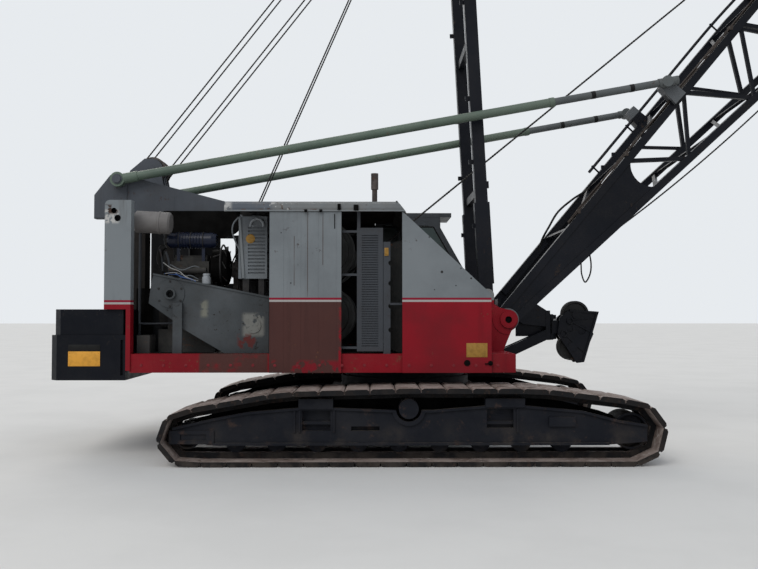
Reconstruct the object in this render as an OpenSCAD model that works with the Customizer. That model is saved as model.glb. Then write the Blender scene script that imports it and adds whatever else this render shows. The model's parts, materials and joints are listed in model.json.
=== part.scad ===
// Crawler crane with a lattice boom, a live mast and telescopic boom stops.
// +X is forward, along the boom, +Y is the machine's left side, and the ground is z = 0.
// Lengths are millimetres and angles are degrees. Places along X are from the slewing axis.

/* [Crawlers] */
// Distance between the centre lines of the two tracks
track_gauge = 3360; // [3200:10:3600]
// Width of a track shoe
shoe_w = 900; // [700:10:1000]
// Thickness of a track shoe
shoe_t = 45; // [35:1:60]
// Length of a track shoe along the track
shoe_pitch = 295; // [270:1:330]
// Gap between two track shoes
shoe_gap = 14; // [8:1:24]
// Height of the chain links inside the shoes
link_h = 70; // [50:1:85]
// Distance from the slewing axis to the front idler
idler_x = 2590; // [2450:10:2700]
// Distance from the slewing axis to the rear tumbler
tumbler_x = 2620; // [2450:10:2700]
// Radius of the chain round the front idler
idler_path_r = 335; // [300:1:350]
// Radius of the chain round the rear tumbler
tumbler_path_r = 285; // [275:1:310]
// Height of the chain over its middle roller
track_top_z = 856; // [820:4:876]
// Radius of the bottom rollers
roller_r = 115; // [100:1:125]
// Distance between two bottom rollers
roller_pitch = 480; // [440:5:500]
// Radius of the carrier roller under the upper run
carrier_r = 115; // [90:1:125]
// Thickness of the side frame's plates
frame_t = 30; // [20:1:40]
// Width over the side frame
frame_w = 640; // [560:10:700]

/* [Carbody and turntable] */
// Width of the two cross beams under the turntable
axle_w = 420; // [300:10:520]
// Distance from the slewing axis to each cross beam
axle_x = 820; // [700:10:1000]
// Outer radius of the turntable ring
ring_r = 820; // [700:10:900]
// Radius of the centre pin
centre_pin_r = 120; // [90:1:150]

/* [Rotating bed] */
// Underside of the rotating bed above the ground
deck_z = 1045; // [1035:5:1100]
// Height of the rotating bed
deck_h = 225; // [180:5:260]
// Width over the rotating bed
house_w = 3200; // [3120:10:3300]
// Width of the bed's side beams
side_beam_w = 150; // [100:5:200]
// Rear end of the rotating bed, behind the slewing axis
deck_rear = 3390; // [3380:5:3450]
// Front end of the rotating bed, ahead of the slewing axis
deck_front = 1290; // [1250:10:1320]

/* [Counterweight] */
// Length of the counterweight
weight_l = 920; // [800:10:1100]
// Distance between the bed and the counterweight
weight_gap = 50; // [20:5:80]
// Height of the lower slab
weight_lower_h = 546; // [450:2:600]
// Height of the upper slab
weight_upper_h = 312; // [250:2:420]
// Bevel on the upright corners
weight_bevel = 90; // [40:5:140]

/* [House] */
// Height of the eaves
eave_z = 3000; // [2960:10:3040]
// Height of the roof sheet at its middle
roof_z = 3140; // [3110:10:3200]
// Thickness of the wall panels
panel_t = 40; // [25:1:60]
// Thickness of the roof's sheet with its frame
roof_t = 30; // [20:1:50]
// Rear end of the roof
roof_rear = 2250; // [2200:10:2260]
// Rear edge of the door panel
door_panel_x = 1700; // [1600:10:1750]
// Rear edge of the open bay
bay_rear = 830; // [760:5:900]
// Front edge of the open bay
bay_front = 90; // [60:5:120]
// Radius of the exhaust stack's outlet
stack_r = 50; // [38:1:60]

/* [Machinery] */
// Middle of the engine right of the machine's centre line
engine_y = 790; // [760:5:820]
// Height of the crankshaft's fan end
fan_z = 2380; // [2340:5:2400]
// Radius of the fan
fan_r = 255; // [200:5:265]
// Radius of the ribbed air cleaner
cleaner_r = 98; // [80:1:110]
// Radius of the muffler
muffler_r = 138; // [110:1:142]
// Length of the muffler
muffler_l = 450; // [400:10:480]
// Radius of the drum flanges
drum_r = 380; // [330:5:390]
// Radius of the drum barrels
barrel_r = 200; // [160:5:240]
// Half the width of the drums
drum_half = 900; // [820:10:920]
// Drum axes behind the slewing axis
drum_x = 1055; // [1030:5:1080]
// Height of the lower drum
lower_drum_z = 1735; // [1720:5:1750]
// Height of the upper drum
upper_drum_z = 2570; // [2550:5:2590]

/* [Boom] */
// Length of the boom from its foot pin to the point sheaves
boom_l = 12200; // [11800:50:13000]
// Angle of the boom above the horizontal
boom_angle = 46.5; // [30:0.5:60]
// Foot pin ahead of the slewing axis
boom_foot_x = 1320; // [1300:5:1340]
// Foot pin above the ground
boom_foot_z = 1680; // [1650:5:1720]
// Width over the boom's chords
boom_w = 1500; // [1460:5:1510]
// Depth of the boom between its chord centres
boom_depth = 950; // [900:10:1000]
// Side of the chord section
chord = 100; // [80:1:110]
// Side of the lacing bars
lace = 54; // [40:1:64]
// Radius of the foot pin
foot_pin_r = 50; // [40:1:60]
// Length of the lower boom section
base_l = 6300; // [6200:50:6600]
// End of the lower section's side plates
web_u = 2640; // [2500:20:2800]
// Radius of the round end of those plates
web_notch_r = 300; // [250:5:340]
// Radius of the boom point sheaves
point_sheave_r = 300; // [240:5:330]
// Radius of the bore for a jib's foot pin
jib_pin_r = 30; // [20:1:35]
// Distance from the point sheaves' axle back to that bore
jib_pin_back = 420; // [400:5:480]

/* [Mast] */
// Length of the mast from its pin to its head shaft
mast_l = 7100; // [6800:50:7400]
// Angle of the mast above the horizontal
mast_angle = 93.1; // [88:0.1:98]
// Mast pin ahead of the slewing axis
mast_foot_x = 1060; // [1040:5:1065]
// Mast pin above the ground
mast_foot_z = 2000; // [1990:5:2050]
// Distance between the middles of the two legs
mast_gauge = 1400; // [1380:5:1410]
// Side of the mast's box legs
mast_leg = 140; // [110:5:150]
// Radius of the sheaves at the mast head and the gantry
mast_sheave_r = 180; // [140:5:185]

/* [Gantry and boom stops] */
// Rear pin of the boom stops, behind the slewing axis
stop_pin_x = 3755; // [3740:5:3780]
// Rear pin of the boom stops above the ground
stop_pin_z = 3500; // [3485:5:3520]
// Distance between the two boom stops
stop_gauge = 1800; // [1790:5:1820]
// Outer radius of the stop tubes
stop_r = 58; // [52:1:62]
// Length of the stop tubes
stop_tube_l = 5780; // [5400:20:5800]
// Length of the sliding rods
stop_rod_l = 4200; // [4000:50:4600]
// Distance along the boom to the stop's front pin
stop_u = 3700; // [3600:10:3760]
// Height of that pin over the boom's axis
stop_v = 630; // [600:5:660]
// Width over the gantry girders
gantry_w = 1640; // [1620:5:1650]
// Width of one gantry girder
girder_w = 120; // [90:5:125]
// Axle of the gantry sheaves behind the slewing axis
gantry_sheave_x = 3500; // [3480:5:3520]
// Axle of the gantry sheaves above the ground
gantry_sheave_z = 3750; // [3740:5:3800]

/* [Fairlead] */
// Swivel axis of the fairlead head ahead of the slewing axis
swivel_x = 2060; // [2050:5:2070]
// Radius of the two fairlead sheaves
fair_sheave_r = 190; // [160:2:200]
// Half the width over the fairlead's cheeks
fair_half = 110; // [100:2:120]

/* [Cab] */
// Width of the operator's cab
cab_w = 780; // [740:10:800]
// Height of the cab roof above the ground
cab_top = 3270; // [3240:5:3320]
// Rear wall of the cab behind the slewing axis
cab_rear = 400; // [350:10:450]
// Thickness of the cab walls
cab_t = 40; // [30:1:60]

/* [Hidden] */
$fn = 32;
// Slewing axis from the middle of the whole machine
slew_x = -2824;
// Gap where two pieces rest on each other
seat = 0.3;
// Running gap of a bore on its pin
run = 0.05;
// Gap beside a piece that moves
clear = 6;

track_y = track_gauge / 2;
idler_z = idler_path_r + shoe_t;
tumbler_z = tumbler_path_r + shoe_t;
shoe_root = 16;
deck_top = deck_z + deck_h;
house_y = house_w / 2;
wall_in = house_y + seat;
wall_out = wall_in + panel_t;
weight_x = -deck_rear - weight_gap;
weight_z = deck_z - 91;
weight_step = 35;
weight_mid_z = weight_z + weight_lower_h;
weight_top_z = weight_mid_z + weight_upper_h;
boom_half = boom_depth / 2;
mast_y = mast_gauge / 2;
stop_y = stop_gauge / 2;
tip_x = boom_foot_x + boom_l * cos(boom_angle);
tip_z = boom_foot_z + boom_l * sin(boom_angle);
mast_tip_x = mast_foot_x + mast_l * cos(mast_angle);
mast_tip_z = mast_foot_z + mast_l * sin(mast_angle);
// Front pin of a boom stop, in the machine's frame
stop_front_x = boom_foot_x + stop_u * cos(boom_angle) - stop_v * sin(boom_angle);
stop_front_z = boom_foot_z + stop_u * sin(boom_angle) + stop_v * cos(boom_angle);
stop_dx = stop_front_x + stop_pin_x;
stop_dz = stop_front_z - stop_pin_z;
stop_l = norm([stop_dx, stop_dz]);
stop_angle = atan2(stop_dz, stop_dx);
stop_bore = stop_r - 6;
stop_rod_r = stop_bore - 3;
pendant_dx = mast_tip_x - tip_x;
pendant_dz = mast_tip_z - tip_z;
pendant_l = norm([pendant_dx, pendant_dz]);
pendant_angle = atan2(pendant_dz, pendant_dx);
pendant_y = 400;
head_shaft_r = 45;
cab_y = house_y + 20 - cab_w;
cab_out = cab_y + cab_w;

// Helpers

module at_slew() translate([slew_x, 0, 0]) children();

module at_boom() at_slew()
  translate([boom_foot_x, 0, boom_foot_z]) rotate([0, -boom_angle, 0]) children();

module at_mast() at_slew()
  translate([mast_foot_x, 0, mast_foot_z]) rotate([0, -mast_angle, 0]) children();

module at_stop() at_slew()
  translate([-stop_pin_x, 0, stop_pin_z]) rotate([0, -stop_angle, 0]) children();

module right() mirror([0, 1, 0]) children();

module both() {
  children();
  mirror([0, 1, 0]) children();
}

// A plate of the given outline in X and Z, from y0 to y1
module plate(points, y0, y1)
  translate([0, y1, 0]) rotate([90, 0, 0]) linear_extrude(y1 - y0) polygon(points);

// A round pin along Y
module pin(x, z, r, y0, y1)
  translate([x, y1, z]) rotate([90, 0, 0]) cylinder(r = r, h = y1 - y0);

// A round tube or bar along X
module shaft(x0, x1, y, z, r)
  translate([x0, y, z]) rotate([0, 90, 0]) cylinder(r = r, h = x1 - x0);

// A box from one corner to the other
module box(a, b) translate(a) cube(b - a);

// A square bar from p to q, w wide and h high
module bar(p, q, w, h) {
  d = q - p;
  l = norm(d);
  translate(p) rotate([0, acos(d.z / l), atan2(d.y, d.x)])
    translate([-h / 2, -w / 2, 0]) cube([h, w, l]);
}

// Points of an arc round a centre, from one angle to another
function arc(c, r, a0, a1, n = 8) =
  [for (k = [0:n]) c + r * [cos(a0 + (a1 - a0) * k / n), sin(a0 + (a1 - a0) * k / n)]];

// A strip of height t under the given path
function strip(path, t) =
  [each path, each [for (i = [len(path) - 1:-1:0]) path[i] - [0, t]]];

// A grooved sheave about Y with its middle at the origin
module sheave(r, w, bore) rotate([90, 0, 0]) rotate_extrude($fn = 64)
  polygon([
    [bore, -w / 2], [r * 0.35, -w / 2], [r * 0.38, -w / 4], [r * 0.8, -w / 4], [r * 0.86, -w / 2],
    [r, -w / 2], [r * 0.92, 0], [r, w / 2], [r * 0.86, w / 2], [r * 0.8, w / 4],
    [r * 0.38, w / 4], [r * 0.35, w / 2], [bore, w / 2]
  ]);

// Tracks: the chain runs round circles, whose columns are x, z and radius
hump_r = 100;
chain_wheels = [
  [idler_x, idler_z, idler_path_r],
  [1500, track_top_z - hump_r - 6, hump_r],
  [0, track_top_z - hump_r, hump_r],
  [-1500, track_top_z - hump_r - 40, hump_r],
  [-tumbler_x, tumbler_z, tumbler_path_r]
];
wheel_n = len(chain_wheels);

function centre(i) = [chain_wheels[i % wheel_n][0], chain_wheels[i % wheel_n][1]];
function radius(i) = chain_wheels[i % wheel_n][2];
// Direction of the outward normal of the straight run from wheel i to the next
function normal_angle(i) =
  let (d = centre(i + 1) - centre(i),
       a = atan2(d.y, d.x) - acos((radius(i) - radius(i + 1)) / norm(d)))
  a < -135 ? a + 360 : a;
function arc_start(i) = i == 0 ? normal_angle(wheel_n - 1) : normal_angle(i - 1);
function arc_end(i) = i == wheel_n - 1 ? normal_angle(i) + 360 : normal_angle(i);

arc_steps = 14;
chain = [
  for (i = [0:wheel_n - 1])
    each arc(centre(i), radius(i), arc_start(i), arc_end(i), arc_steps)
];
chain_n = len(chain);
chain_at = [
  for (i = 0, s = 0; i <= chain_n;
       s = s + norm(chain[(i + 1) % chain_n] - chain[i % chain_n]), i = i + 1) s
];
chain_l = chain_at[chain_n];
shoe_n = round(chain_l / shoe_pitch);
pitch = chain_l / shoe_n;

function along(s) =
  let (k = max([for (i = [0:chain_n - 1]) if (chain_at[i] <= s) i]),
       f = (s - chain_at[k]) / (chain_at[k + 1] - chain_at[k]))
  chain[k] * (1 - f) + chain[(k + 1) % chain_n] * f;

hinges = [for (i = [0:shoe_n - 1]) along(i * pitch)];
function unit(v) = v / norm(v);
function shoe_dir(i) = unit(hinges[(i + 1) % shoe_n] - hinges[i]);
function shoe_out(i) = [shoe_dir(i).y, -shoe_dir(i).x];
// A point beside hinge i: a along shoe i and b outwards
function beside(i, a, b) = hinges[i] + a * shoe_dir(i) + b * shoe_out(i);
function shoe_len(i) = norm(hinges[(i + 1) % shoe_n] - hinges[i]);

// Each shoe has a flat pad with a lower, bevelled edge at its ends
shoe_edge = 30;
shoe_outline = [
  for (i = [0:shoe_n - 1])
    let (a = shoe_gap / 2, b = shoe_len(i) - shoe_gap / 2)
    each [beside(i, a, 0), beside(i, a, shoe_t * 0.6), beside(i, a + shoe_edge, shoe_t),
          beside(i, b - shoe_edge, shoe_t), beside(i, b, shoe_t * 0.6), beside(i, b, 0)]
];
function inner_outline(b) = [
  for (i = [0:shoe_n - 1])
    hinges[i] - b * unit(shoe_out(i) + shoe_out((i + shoe_n - 1) % shoe_n))
];

// Radius at which a wheel meets the links of a chain bent round it
function wheel_r(path_r) = sqrt(path_r * path_r - pitch * pitch / 4) - shoe_root - link_h - seat;
link_y = 150;
link_w = 80;

module ring_plate(outer, inner, y0, y1)
  translate([0, y1, 0]) rotate([90, 0, 0]) linear_extrude(y1 - y0)
    difference() {
      polygon(outer);
      polygon(inner);
    }

module track() translate([0, track_y, 0]) {
  ring_plate(shoe_outline, inner_outline(shoe_root), -shoe_w / 2, shoe_w / 2);
  for (side = [-1, 1])
    ring_plate(inner_outline(shoe_root / 2), inner_outline(shoe_root + link_h),
      side * link_y - link_w / 2, side * link_y + link_w / 2);
}

// Side frames
frame_in = track_y - frame_w / 2;
frame_out = track_y + frame_w / 2;
frame_floor = 235;
flange_t = 28;
flange_out = 26;
carrier_x = -30;
chain_sag = 3.2;
carrier_z = track_top_z - shoe_root - link_h - carrier_r - chain_sag;
saddle_r = carrier_r + 35;
// Top edge of the frame's web, from the rear to the front
frame_top = [
  [-tumbler_x - 150, 440], [-2300, 545], [-1900, 620], [-1310, 668], [-910, 668], [-200, 640],
  [245, 640], [860, 690], [1340, 690], [2000, 630], [2420, 520], [idler_x + 160, 470]
];
frame_outline = [
  each frame_top, [idler_x + 160, 270], [2300, frame_floor], [-2300, frame_floor],
  [-tumbler_x - 150, 270]
];
// columns: x0, x1, z0, z1
frame_windows = [[-1270, -940, 400, 640], [880, 1190, 430, 650], [-700, -370, 400, 450]];
frame_caps = [[-1310, -910, 655, 770], [860, 1320, 676, 775]];
frame_ribs = [-1370, -1310, -910, 1225];

module frame_web(y0, y1) difference() {
  plate(frame_outline, y0, y1);
  pin(carrier_x, carrier_z, saddle_r, y0 - 1, y1 + 1);
}

// The plate under the carrier roller
module saddle(y0, y1) difference() {
  pin(carrier_x, carrier_z, saddle_r + 45, y0, y1);
  pin(carrier_x, carrier_z, saddle_r - 2, y0 - 1, y1 + 1);
  box([carrier_x - 2 * saddle_r, y0 - 1, carrier_z - 20], [carrier_x + 2 * saddle_r, y1 + 1, 900]);
}

module side_frame() {
  difference() {
    frame_web(frame_out - frame_t, frame_out);
    for (w = frame_windows)
      box([w[0], frame_out - frame_t - 1, w[2]], [w[1], frame_out + 1, w[3]]);
  }
  frame_web(frame_in, frame_in + frame_t);
  // Core between the webs, with a floor behind each window
  box([-2000, frame_in + frame_t - 1, 470], [2000, frame_out - frame_t + 1, 505]);
  for (w = frame_windows)
    box([w[0] - 30, frame_out - 110, w[2] - 25], [w[1] + 30, frame_out - 85, w[3] + 22]);
  // Flanges that stand out from the outer web
  difference() {
    plate(strip(frame_top, flange_t), frame_out - 3, frame_out + flange_out);
    pin(carrier_x, carrier_z, saddle_r + 20, frame_out - 4, frame_out + flange_out + 1);
  }
  box([-2300, frame_out - 4, frame_floor - 1], [2300, frame_out + flange_out + 8, frame_floor + flange_t]);
  saddle(frame_out - 5, frame_out + flange_out - 4);
  for (c = frame_caps)
    box([c[0], frame_out - 90, c[2]], [c[1], frame_out + flange_out + 14, c[3]]);
  for (x = frame_ribs)
    box([x, frame_out - 6, 380], [x + 22, frame_out + flange_out - 9, 650]);
  // Take-up bracket of the rear tumbler, with its slot
  difference() {
    box([-tumbler_x - 190, frame_out - 7, 250], [-tumbler_x + 330, frame_out + 18, 405]);
    box([-tumbler_x - 60, frame_out - 8, 292], [-tumbler_x + 240, frame_out + 19, 362]);
  }
  // Box of the drive chain's adjuster
  box([1600, frame_out - 8, 450], [1910, frame_out + 34, 560]);
}

// Idler, tumbler and rollers
roller_z = shoe_t + shoe_root + link_h + roller_r + seat;
first_roller_x = -2060;
roller_n = 9;
wheel_half = link_y + link_w / 2 + 20;

// A dished wheel on its axle between the frame's webs
module chain_wheel(x, z, r, half) translate([x, track_y, z]) {
  rotate([90, 0, 0]) rotate_extrude($fn = 48)
    polygon([
      [0, -half], [r * 0.45, -half], [r * 0.5, -half * 0.6], [r * 0.82, -half * 0.6], [r * 0.88, -half],
      [r, -half], [r, half], [r * 0.88, half], [r * 0.82, half * 0.6], [r * 0.5, half * 0.6],
      [r * 0.45, half], [0, half]
    ]);
  axle(r);
}
module axle(r) pin(0, 0, r * 0.4, -frame_w / 2 + frame_t + seat, frame_w / 2 - frame_t - seat);
// A plain roller on its axle
module roller(x, z) translate([x, track_y, z]) {
  pin(0, 0, roller_r, -link_y - link_w / 2, link_y + link_w / 2);
  axle(roller_r);
}

module wheels() {
  chain_wheel(idler_x, idler_z, wheel_r(idler_path_r), wheel_half);
  chain_wheel(-tumbler_x, tumbler_z, wheel_r(tumbler_path_r), wheel_half);
  for (i = [0:roller_n - 1])
    roller(first_roller_x + i * roller_pitch, roller_z);
  chain_wheel(carrier_x, carrier_z, carrier_r, wheel_half);
  // Hub cap of the carrier roller, outside the frame
  pin(carrier_x, carrier_z, carrier_r, track_y + frame_w / 2 - frame_t - 1, frame_out + 18);
  pin(carrier_x, carrier_z, carrier_r * 0.39, track_y + wheel_half - 1, track_y + frame_w / 2);
}

// Carbody and turntable
axle_z0 = 420;
axle_z1 = 690;
body_top = 800;
module carbody() color("#1b1e24") at_slew() {
  for (side = [-1, 1])
    plate_y([[-frame_in, axle_z0 + 60], [-frame_in, axle_z1 - 30], [-1150, axle_z1 + 50],
             [1150, axle_z1 + 50], [frame_in, axle_z1 - 30], [frame_in, axle_z0 + 60],
             [1000, axle_z0], [-1000, axle_z0]],
      side * axle_x - axle_w / 2, side * axle_x + axle_w / 2);
  box([-axle_x, -900, 380], [axle_x, 900, body_top]);
  translate([0, 0, body_top - 10]) cylinder(r = ring_r + 60, h = 131, $fn = 96);
  translate([0, 0, 900]) cylinder(r = centre_pin_r, h = deck_top - 900 - 30, $fn = 64);
}

// A plate of the given outline in Y and Z, from x0 to x1
module plate_y(points, x0, x1)
  translate([x0, 0, 0]) rotate([90, 0, 90]) linear_extrude(x1 - x0) polygon(points);

module turntable_ring() color("#2a2c30") at_slew()
  translate([0, 0, body_top + 121]) difference() {
    cylinder(r = ring_r, h = deck_z - seat - body_top - 121, $fn = 96);
    translate([0, 0, -1]) cylinder(r = ring_r - 150, h = deck_z, $fn = 96);
  }

// Rotating bed with the brackets for the boom and the mast
bracket_gap = 5;
lug_in = 700;
lug_out = 795;
foot = [boom_foot_x, boom_foot_z];
module foot_bracket(y0, y1)
  plate([[boom_foot_x - 310, deck_z + 15], [deck_front - 5, deck_z + 15], [deck_front - 30, deck_top + 20],
         [boom_foot_x + 40, boom_foot_z - 150], each arc(foot, 130, -50, 90, 10),
         [boom_foot_x - 120, boom_foot_z + 160], [boom_foot_x - 175, boom_foot_z + 200],
         [boom_foot_x - 310, boom_foot_z + 200]], y0, y1);
module mast_bracket(y0, y1)
  plate([[mast_foot_x - 240, deck_top - 5], [mast_foot_x + 60, deck_top - 5], [mast_foot_x + 85, mast_foot_z],
         each arc([mast_foot_x, mast_foot_z], 85, 10, 170, 10), [mast_foot_x - 85, mast_foot_z]], y0, y1);

module deck() color("#b01c24") at_slew() {
  difference() {
    union() {
      both() {
        box([-deck_rear, house_y - side_beam_w, deck_z], [deck_front, house_y, deck_top]);
        for (y = [430, 900])
          box([weight_x + seat, y, deck_z + 20], [deck_front - 20, y + 80, deck_top - 10]);
      }
      for (x = [-deck_rear, -2300, -1250, 1000])
        box([x, -house_y + 20, deck_z + 10], [x + 120, house_y - 20, deck_top - 10]);
      box([-deck_rear, -house_y + 20, deck_top - 25], [deck_front, house_y - 20, deck_top]);
      translate([0, 0, deck_z]) cylinder(r = ring_r, h = deck_h - 12, $fn = 96);
    }
    translate([0, 0, deck_z - 1]) cylinder(r = centre_pin_r + run, h = deck_h + 2, $fn = 64);
  }
  both() {
    foot_bracket(lug_out + bracket_gap, lug_out + bracket_gap + 50);
    foot_bracket(lug_in - bracket_gap - 55, lug_in - bracket_gap);
    pin(boom_foot_x, boom_foot_z, foot_pin_r, lug_in - 55, lug_out + 68);
    // Hollow boss and half ring round the foot pin's outer end
    difference() {
      pin(boom_foot_x, boom_foot_z, 108, lug_out + 50, lug_out + 96);
      pin(boom_foot_x, boom_foot_z, foot_pin_r - 5, lug_out + 66, lug_out + 97);
    }
    difference() {
      pin(boom_foot_x - 12, boom_foot_z, 190, lug_out + bracket_gap + 40, lug_out + 66);
      box([boom_foot_x, lug_out, boom_foot_z - 300], [boom_foot_x + 300, lug_out + 99, boom_foot_z + 300]);
      box([boom_foot_x - 300, lug_out, boom_foot_z + 40],
          [boom_foot_x + 300, lug_out + 99, boom_foot_z + 300]);
    }
    mast_bracket(mast_y - mast_leg / 2 - bracket_gap - 40, mast_y - mast_leg / 2 - bracket_gap);
    mast_bracket(mast_y + mast_leg / 2 + bracket_gap, mast_y + mast_leg / 2 + bracket_gap + 30);
    pin(mast_foot_x, mast_foot_z, 45, mast_y - mast_leg / 2 - 50, mast_y + mast_leg / 2 + 40);
  }
}

// Counterweight
module weight_slab(x, l, w, z, h) at_slew() translate([x, 0, z]) linear_extrude(h)
  polygon([[0, -w], [0, w], [-l + weight_bevel, w], [-l, w - weight_bevel],
           [-l, -w + weight_bevel], [-l + weight_bevel, -w]]);
module counterweight_lower() color("#17181a") difference() {
  weight_slab(weight_x, weight_l, house_y, weight_z, weight_lower_h);
  // Recess of the lifting hook in each side face
  at_slew() both()
    box([weight_x - 60, house_y - 40, weight_z + 60], [weight_x - 25, house_y + 1, weight_mid_z - 60]);
}
module counterweight_upper() color("#1c1d20") difference() {
  weight_slab(weight_x - weight_step, weight_l - 2 * weight_step, house_y - 25,
    weight_mid_z, weight_upper_h);
  // Lifting pockets in the top
  at_slew() for (y = [-700, 700])
    box([weight_x - 560, y - 90, weight_top_z - 120], [weight_x - 380, y + 90, weight_top_z + 1]);
}

// Gantry
girder_out = gantry_w / 2;
girder_in = girder_out - girder_w;
girder_z = 3060;
girder_front = -roof_rear - 8;
rear_leg = [-3700, -3420];
front_leg = [-3342, -3184];
girder_outline = [
  [-4090, 3000], [-4090, 3310], [-3885, 3570], [-3760, 3600], [-3350, 3480],
  [girder_front - 42, 3206], [girder_front, 3150], [girder_front, 3095],
  [-3200, 3100], [-3250, girder_z], [-3720, girder_z], [-3760, 3000]
];
cheek_t = 26;
gantry_sheave_y = 125;
gantry_pin_r = 40;
gantry_sheave_w = 70;
cheek_in = gantry_sheave_y - gantry_sheave_w / 2 - 25 - cheek_t;
cheek_out = gantry_sheave_y + gantry_sheave_w / 2 + 25;
cheek_outline = [
  [-3860, 3300], [-3800, 3730], [-3600, 3900],
  each arc([-gantry_sheave_x, gantry_sheave_z], 150, 100, -30, 8), [-3300, 3300]
];
module gantry() color("#8f9391") at_slew() {
  both() {
    plate(girder_outline, girder_in, girder_out);
    plate([[-4080, 3010], [-4080, 3306], [-3880, 3560], [-3663, 3560], [-3663, 3070], [-3775, 3010]],
      girder_out - 2, girder_out + 12);
    // Pin of the boom stop, with its collar
    pin(-stop_pin_x, stop_pin_z, 65, girder_in + 10, stop_y + 68);
    pin(-stop_pin_x, stop_pin_z, 50, stop_y + 60, stop_y + 84);
    box([rear_leg[0], girder_out - 60, weight_top_z + seat], [rear_leg[1], girder_out - 20, girder_z + 40]);
    box([front_leg[0], girder_in + 2, deck_top], [front_leg[1], girder_out - 4, girder_z + 50]);
    for (y = [cheek_in, cheek_out])
      plate(cheek_outline, y, y + cheek_t);
  }
  box([-3840, -girder_in - 5, 3320], [-3700, girder_in + 5, 3440]);
  box([-3480, -girder_in - 5, 3310], [-3330, girder_in + 5, 3400]);
  box([girder_front - 102, -girder_in - 5, 3112], [girder_front - 42, girder_in + 5, 3175]);
  pin(-gantry_sheave_x, gantry_sheave_z, gantry_pin_r, -cheek_out - 46, cheek_out + 46);
}
module gantry_sheaves() color("#2b2d2e") at_slew() for (y = [-gantry_sheave_y, gantry_sheave_y])
  translate([-gantry_sheave_x, y, gantry_sheave_z])
    sheave(mast_sheave_r, gantry_sheave_w, gantry_pin_r + run);

// House: the walls hang outside the bed's side beams
roof_front = -20;
roof_edge = -154;
roof_out = wall_out + 12;
// Half of the roof's cross section, outer side first
roof_half = [
  [roof_out, eave_z], [roof_out, eave_z + 45], [roof_out - 25, eave_z + 95], [roof_out - 80, roof_z - 12],
  [roof_out - 170, roof_z]
];
roof_inner = [
  [roof_out - 190, roof_z - roof_t], [roof_out - 95, roof_z - roof_t - 12], [roof_out - 50, eave_z + 80],
  [roof_out - 32, eave_z + 45], [roof_out - 32, eave_z]
];
function mirrored(points) = [for (i = [len(points) - 1:-1:0]) [-points[i].x, points[i].y]];
module roof() color("#a9adab") at_slew() difference() {
  union() {
    difference() {
      plate_y([each roof_half, each mirrored(roof_half), each mirrored(roof_inner), each roof_inner],
        -roof_rear, roof_front);
      plate([[roof_edge, roof_z + 0.5], [roof_front + 1, eave_z - 40], [roof_front + 60, eave_z - 40],
             [roof_front + 60, roof_z + 60], [roof_edge, roof_z + 60]], -2000, 2000);
    }
    // Sloping front of the roof
    plate([[roof_edge - 12, roof_z - 3], [roof_edge + 3, roof_z - 3], [roof_front, eave_z - 35],
           [roof_front - 24, eave_z - 35]], -wall_in + 4, wall_in - 4);
  }
  // Room for the cab, and a slot for the hoist rope's two parts
  box([-cab_rear - clear, cab_y - clear, eave_z - 100], [roof_front + 40, house_y + 100, roof_z + 10]);
  box([-2150, -120, roof_z - 60], [-1930, 120, roof_z + 10]);
}

post_in = house_y - 120;
module rear_post() at_slew() difference() {
  plate([[-3700, weight_top_z + seat], each arc([-3640, 3080], 60, 180, 90, 6), [-3380, 3140],
         [-3380, deck_z + 25], [weight_x + 5, deck_z + 25],
         [weight_x + 5, weight_top_z + seat]], post_in, house_y + 20);
  box([-3660, post_in + 40, weight_top_z + 60], [-3420, house_y - 20, 3090]);
  // The bed's side beam ends inside the post's foot
  box([-deck_rear - seat, post_in - 1, deck_z], [-3370, house_y + seat, deck_top + seat]);
  // Two torn holes near the top
  pin(-3590, 3010, 34, house_y - 30, house_y + 21);
  pin(-3545, 2920, 40, house_y - 30, house_y + 21);
}
module right_rear_post() color("#a9adab") right() rear_post();
module left_rear_post() color("#a9adab") rear_post();

wall_top = eave_z - seat;
rib_w = 150;
rib_h = 2.5;
// Low ribs pressed into a wall sheet, as x of each rib
module pressed_wall(x0, x1, ribs) {
  box([x0, wall_in, deck_z], [x1, wall_out - rib_h, wall_top]);
  for (x = ribs)
    box([x, wall_out - rib_h - 2, deck_z + 10], [x + rib_w, wall_out, wall_top - 5]);
}
module right_door_panel() color("#a9adab") at_slew() right()
  pressed_wall(-door_panel_x, -bay_rear, [-door_panel_x + 20, -door_panel_x + 230, -door_panel_x + 440,
                                         -door_panel_x + 660]);
slope_low = [900, 2080];
slope_high = [-30, 2950];
module right_front_panel() color("#a9adab") at_slew() right() {
  plate([[-bay_front, deck_z], [990, deck_z], [990, 2000], slope_low, slope_high, [-bay_front, wall_top]],
    wall_in, wall_out);
  // Return flanges along the slope and the front edge
  plate([slope_low, slope_high, slope_high - [24, 26], slope_low - [24, 24]], house_y - 110, wall_in + 3);
  box([960, house_y - 110, deck_top + seat], [984, wall_in + 2, 2010]);
}
left_wall_rear = -3374;
left_rib_pitch = 210;
// Open hatch of the left wall, behind the engine
hatch = [[-2870, wall_in - 1, 2230], [-2630, wall_out + 1, 2950]];
module left_wall() color("#a9adab") at_slew() difference() {
  pressed_wall(left_wall_rear, -cab_rear - clear,
    [for (i = [0:13]) left_wall_rear + 25 + i * left_rib_pitch]);
  box(hatch[0], hatch[1]);
}
module front_wall() color("#8f9391") at_slew() difference() {
  box([-76, -1040, deck_top], [-46, cab_y - 10, eave_z - 40]);
  box([-80, -480, 1990], [-40, 480, eave_z]);
}

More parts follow.
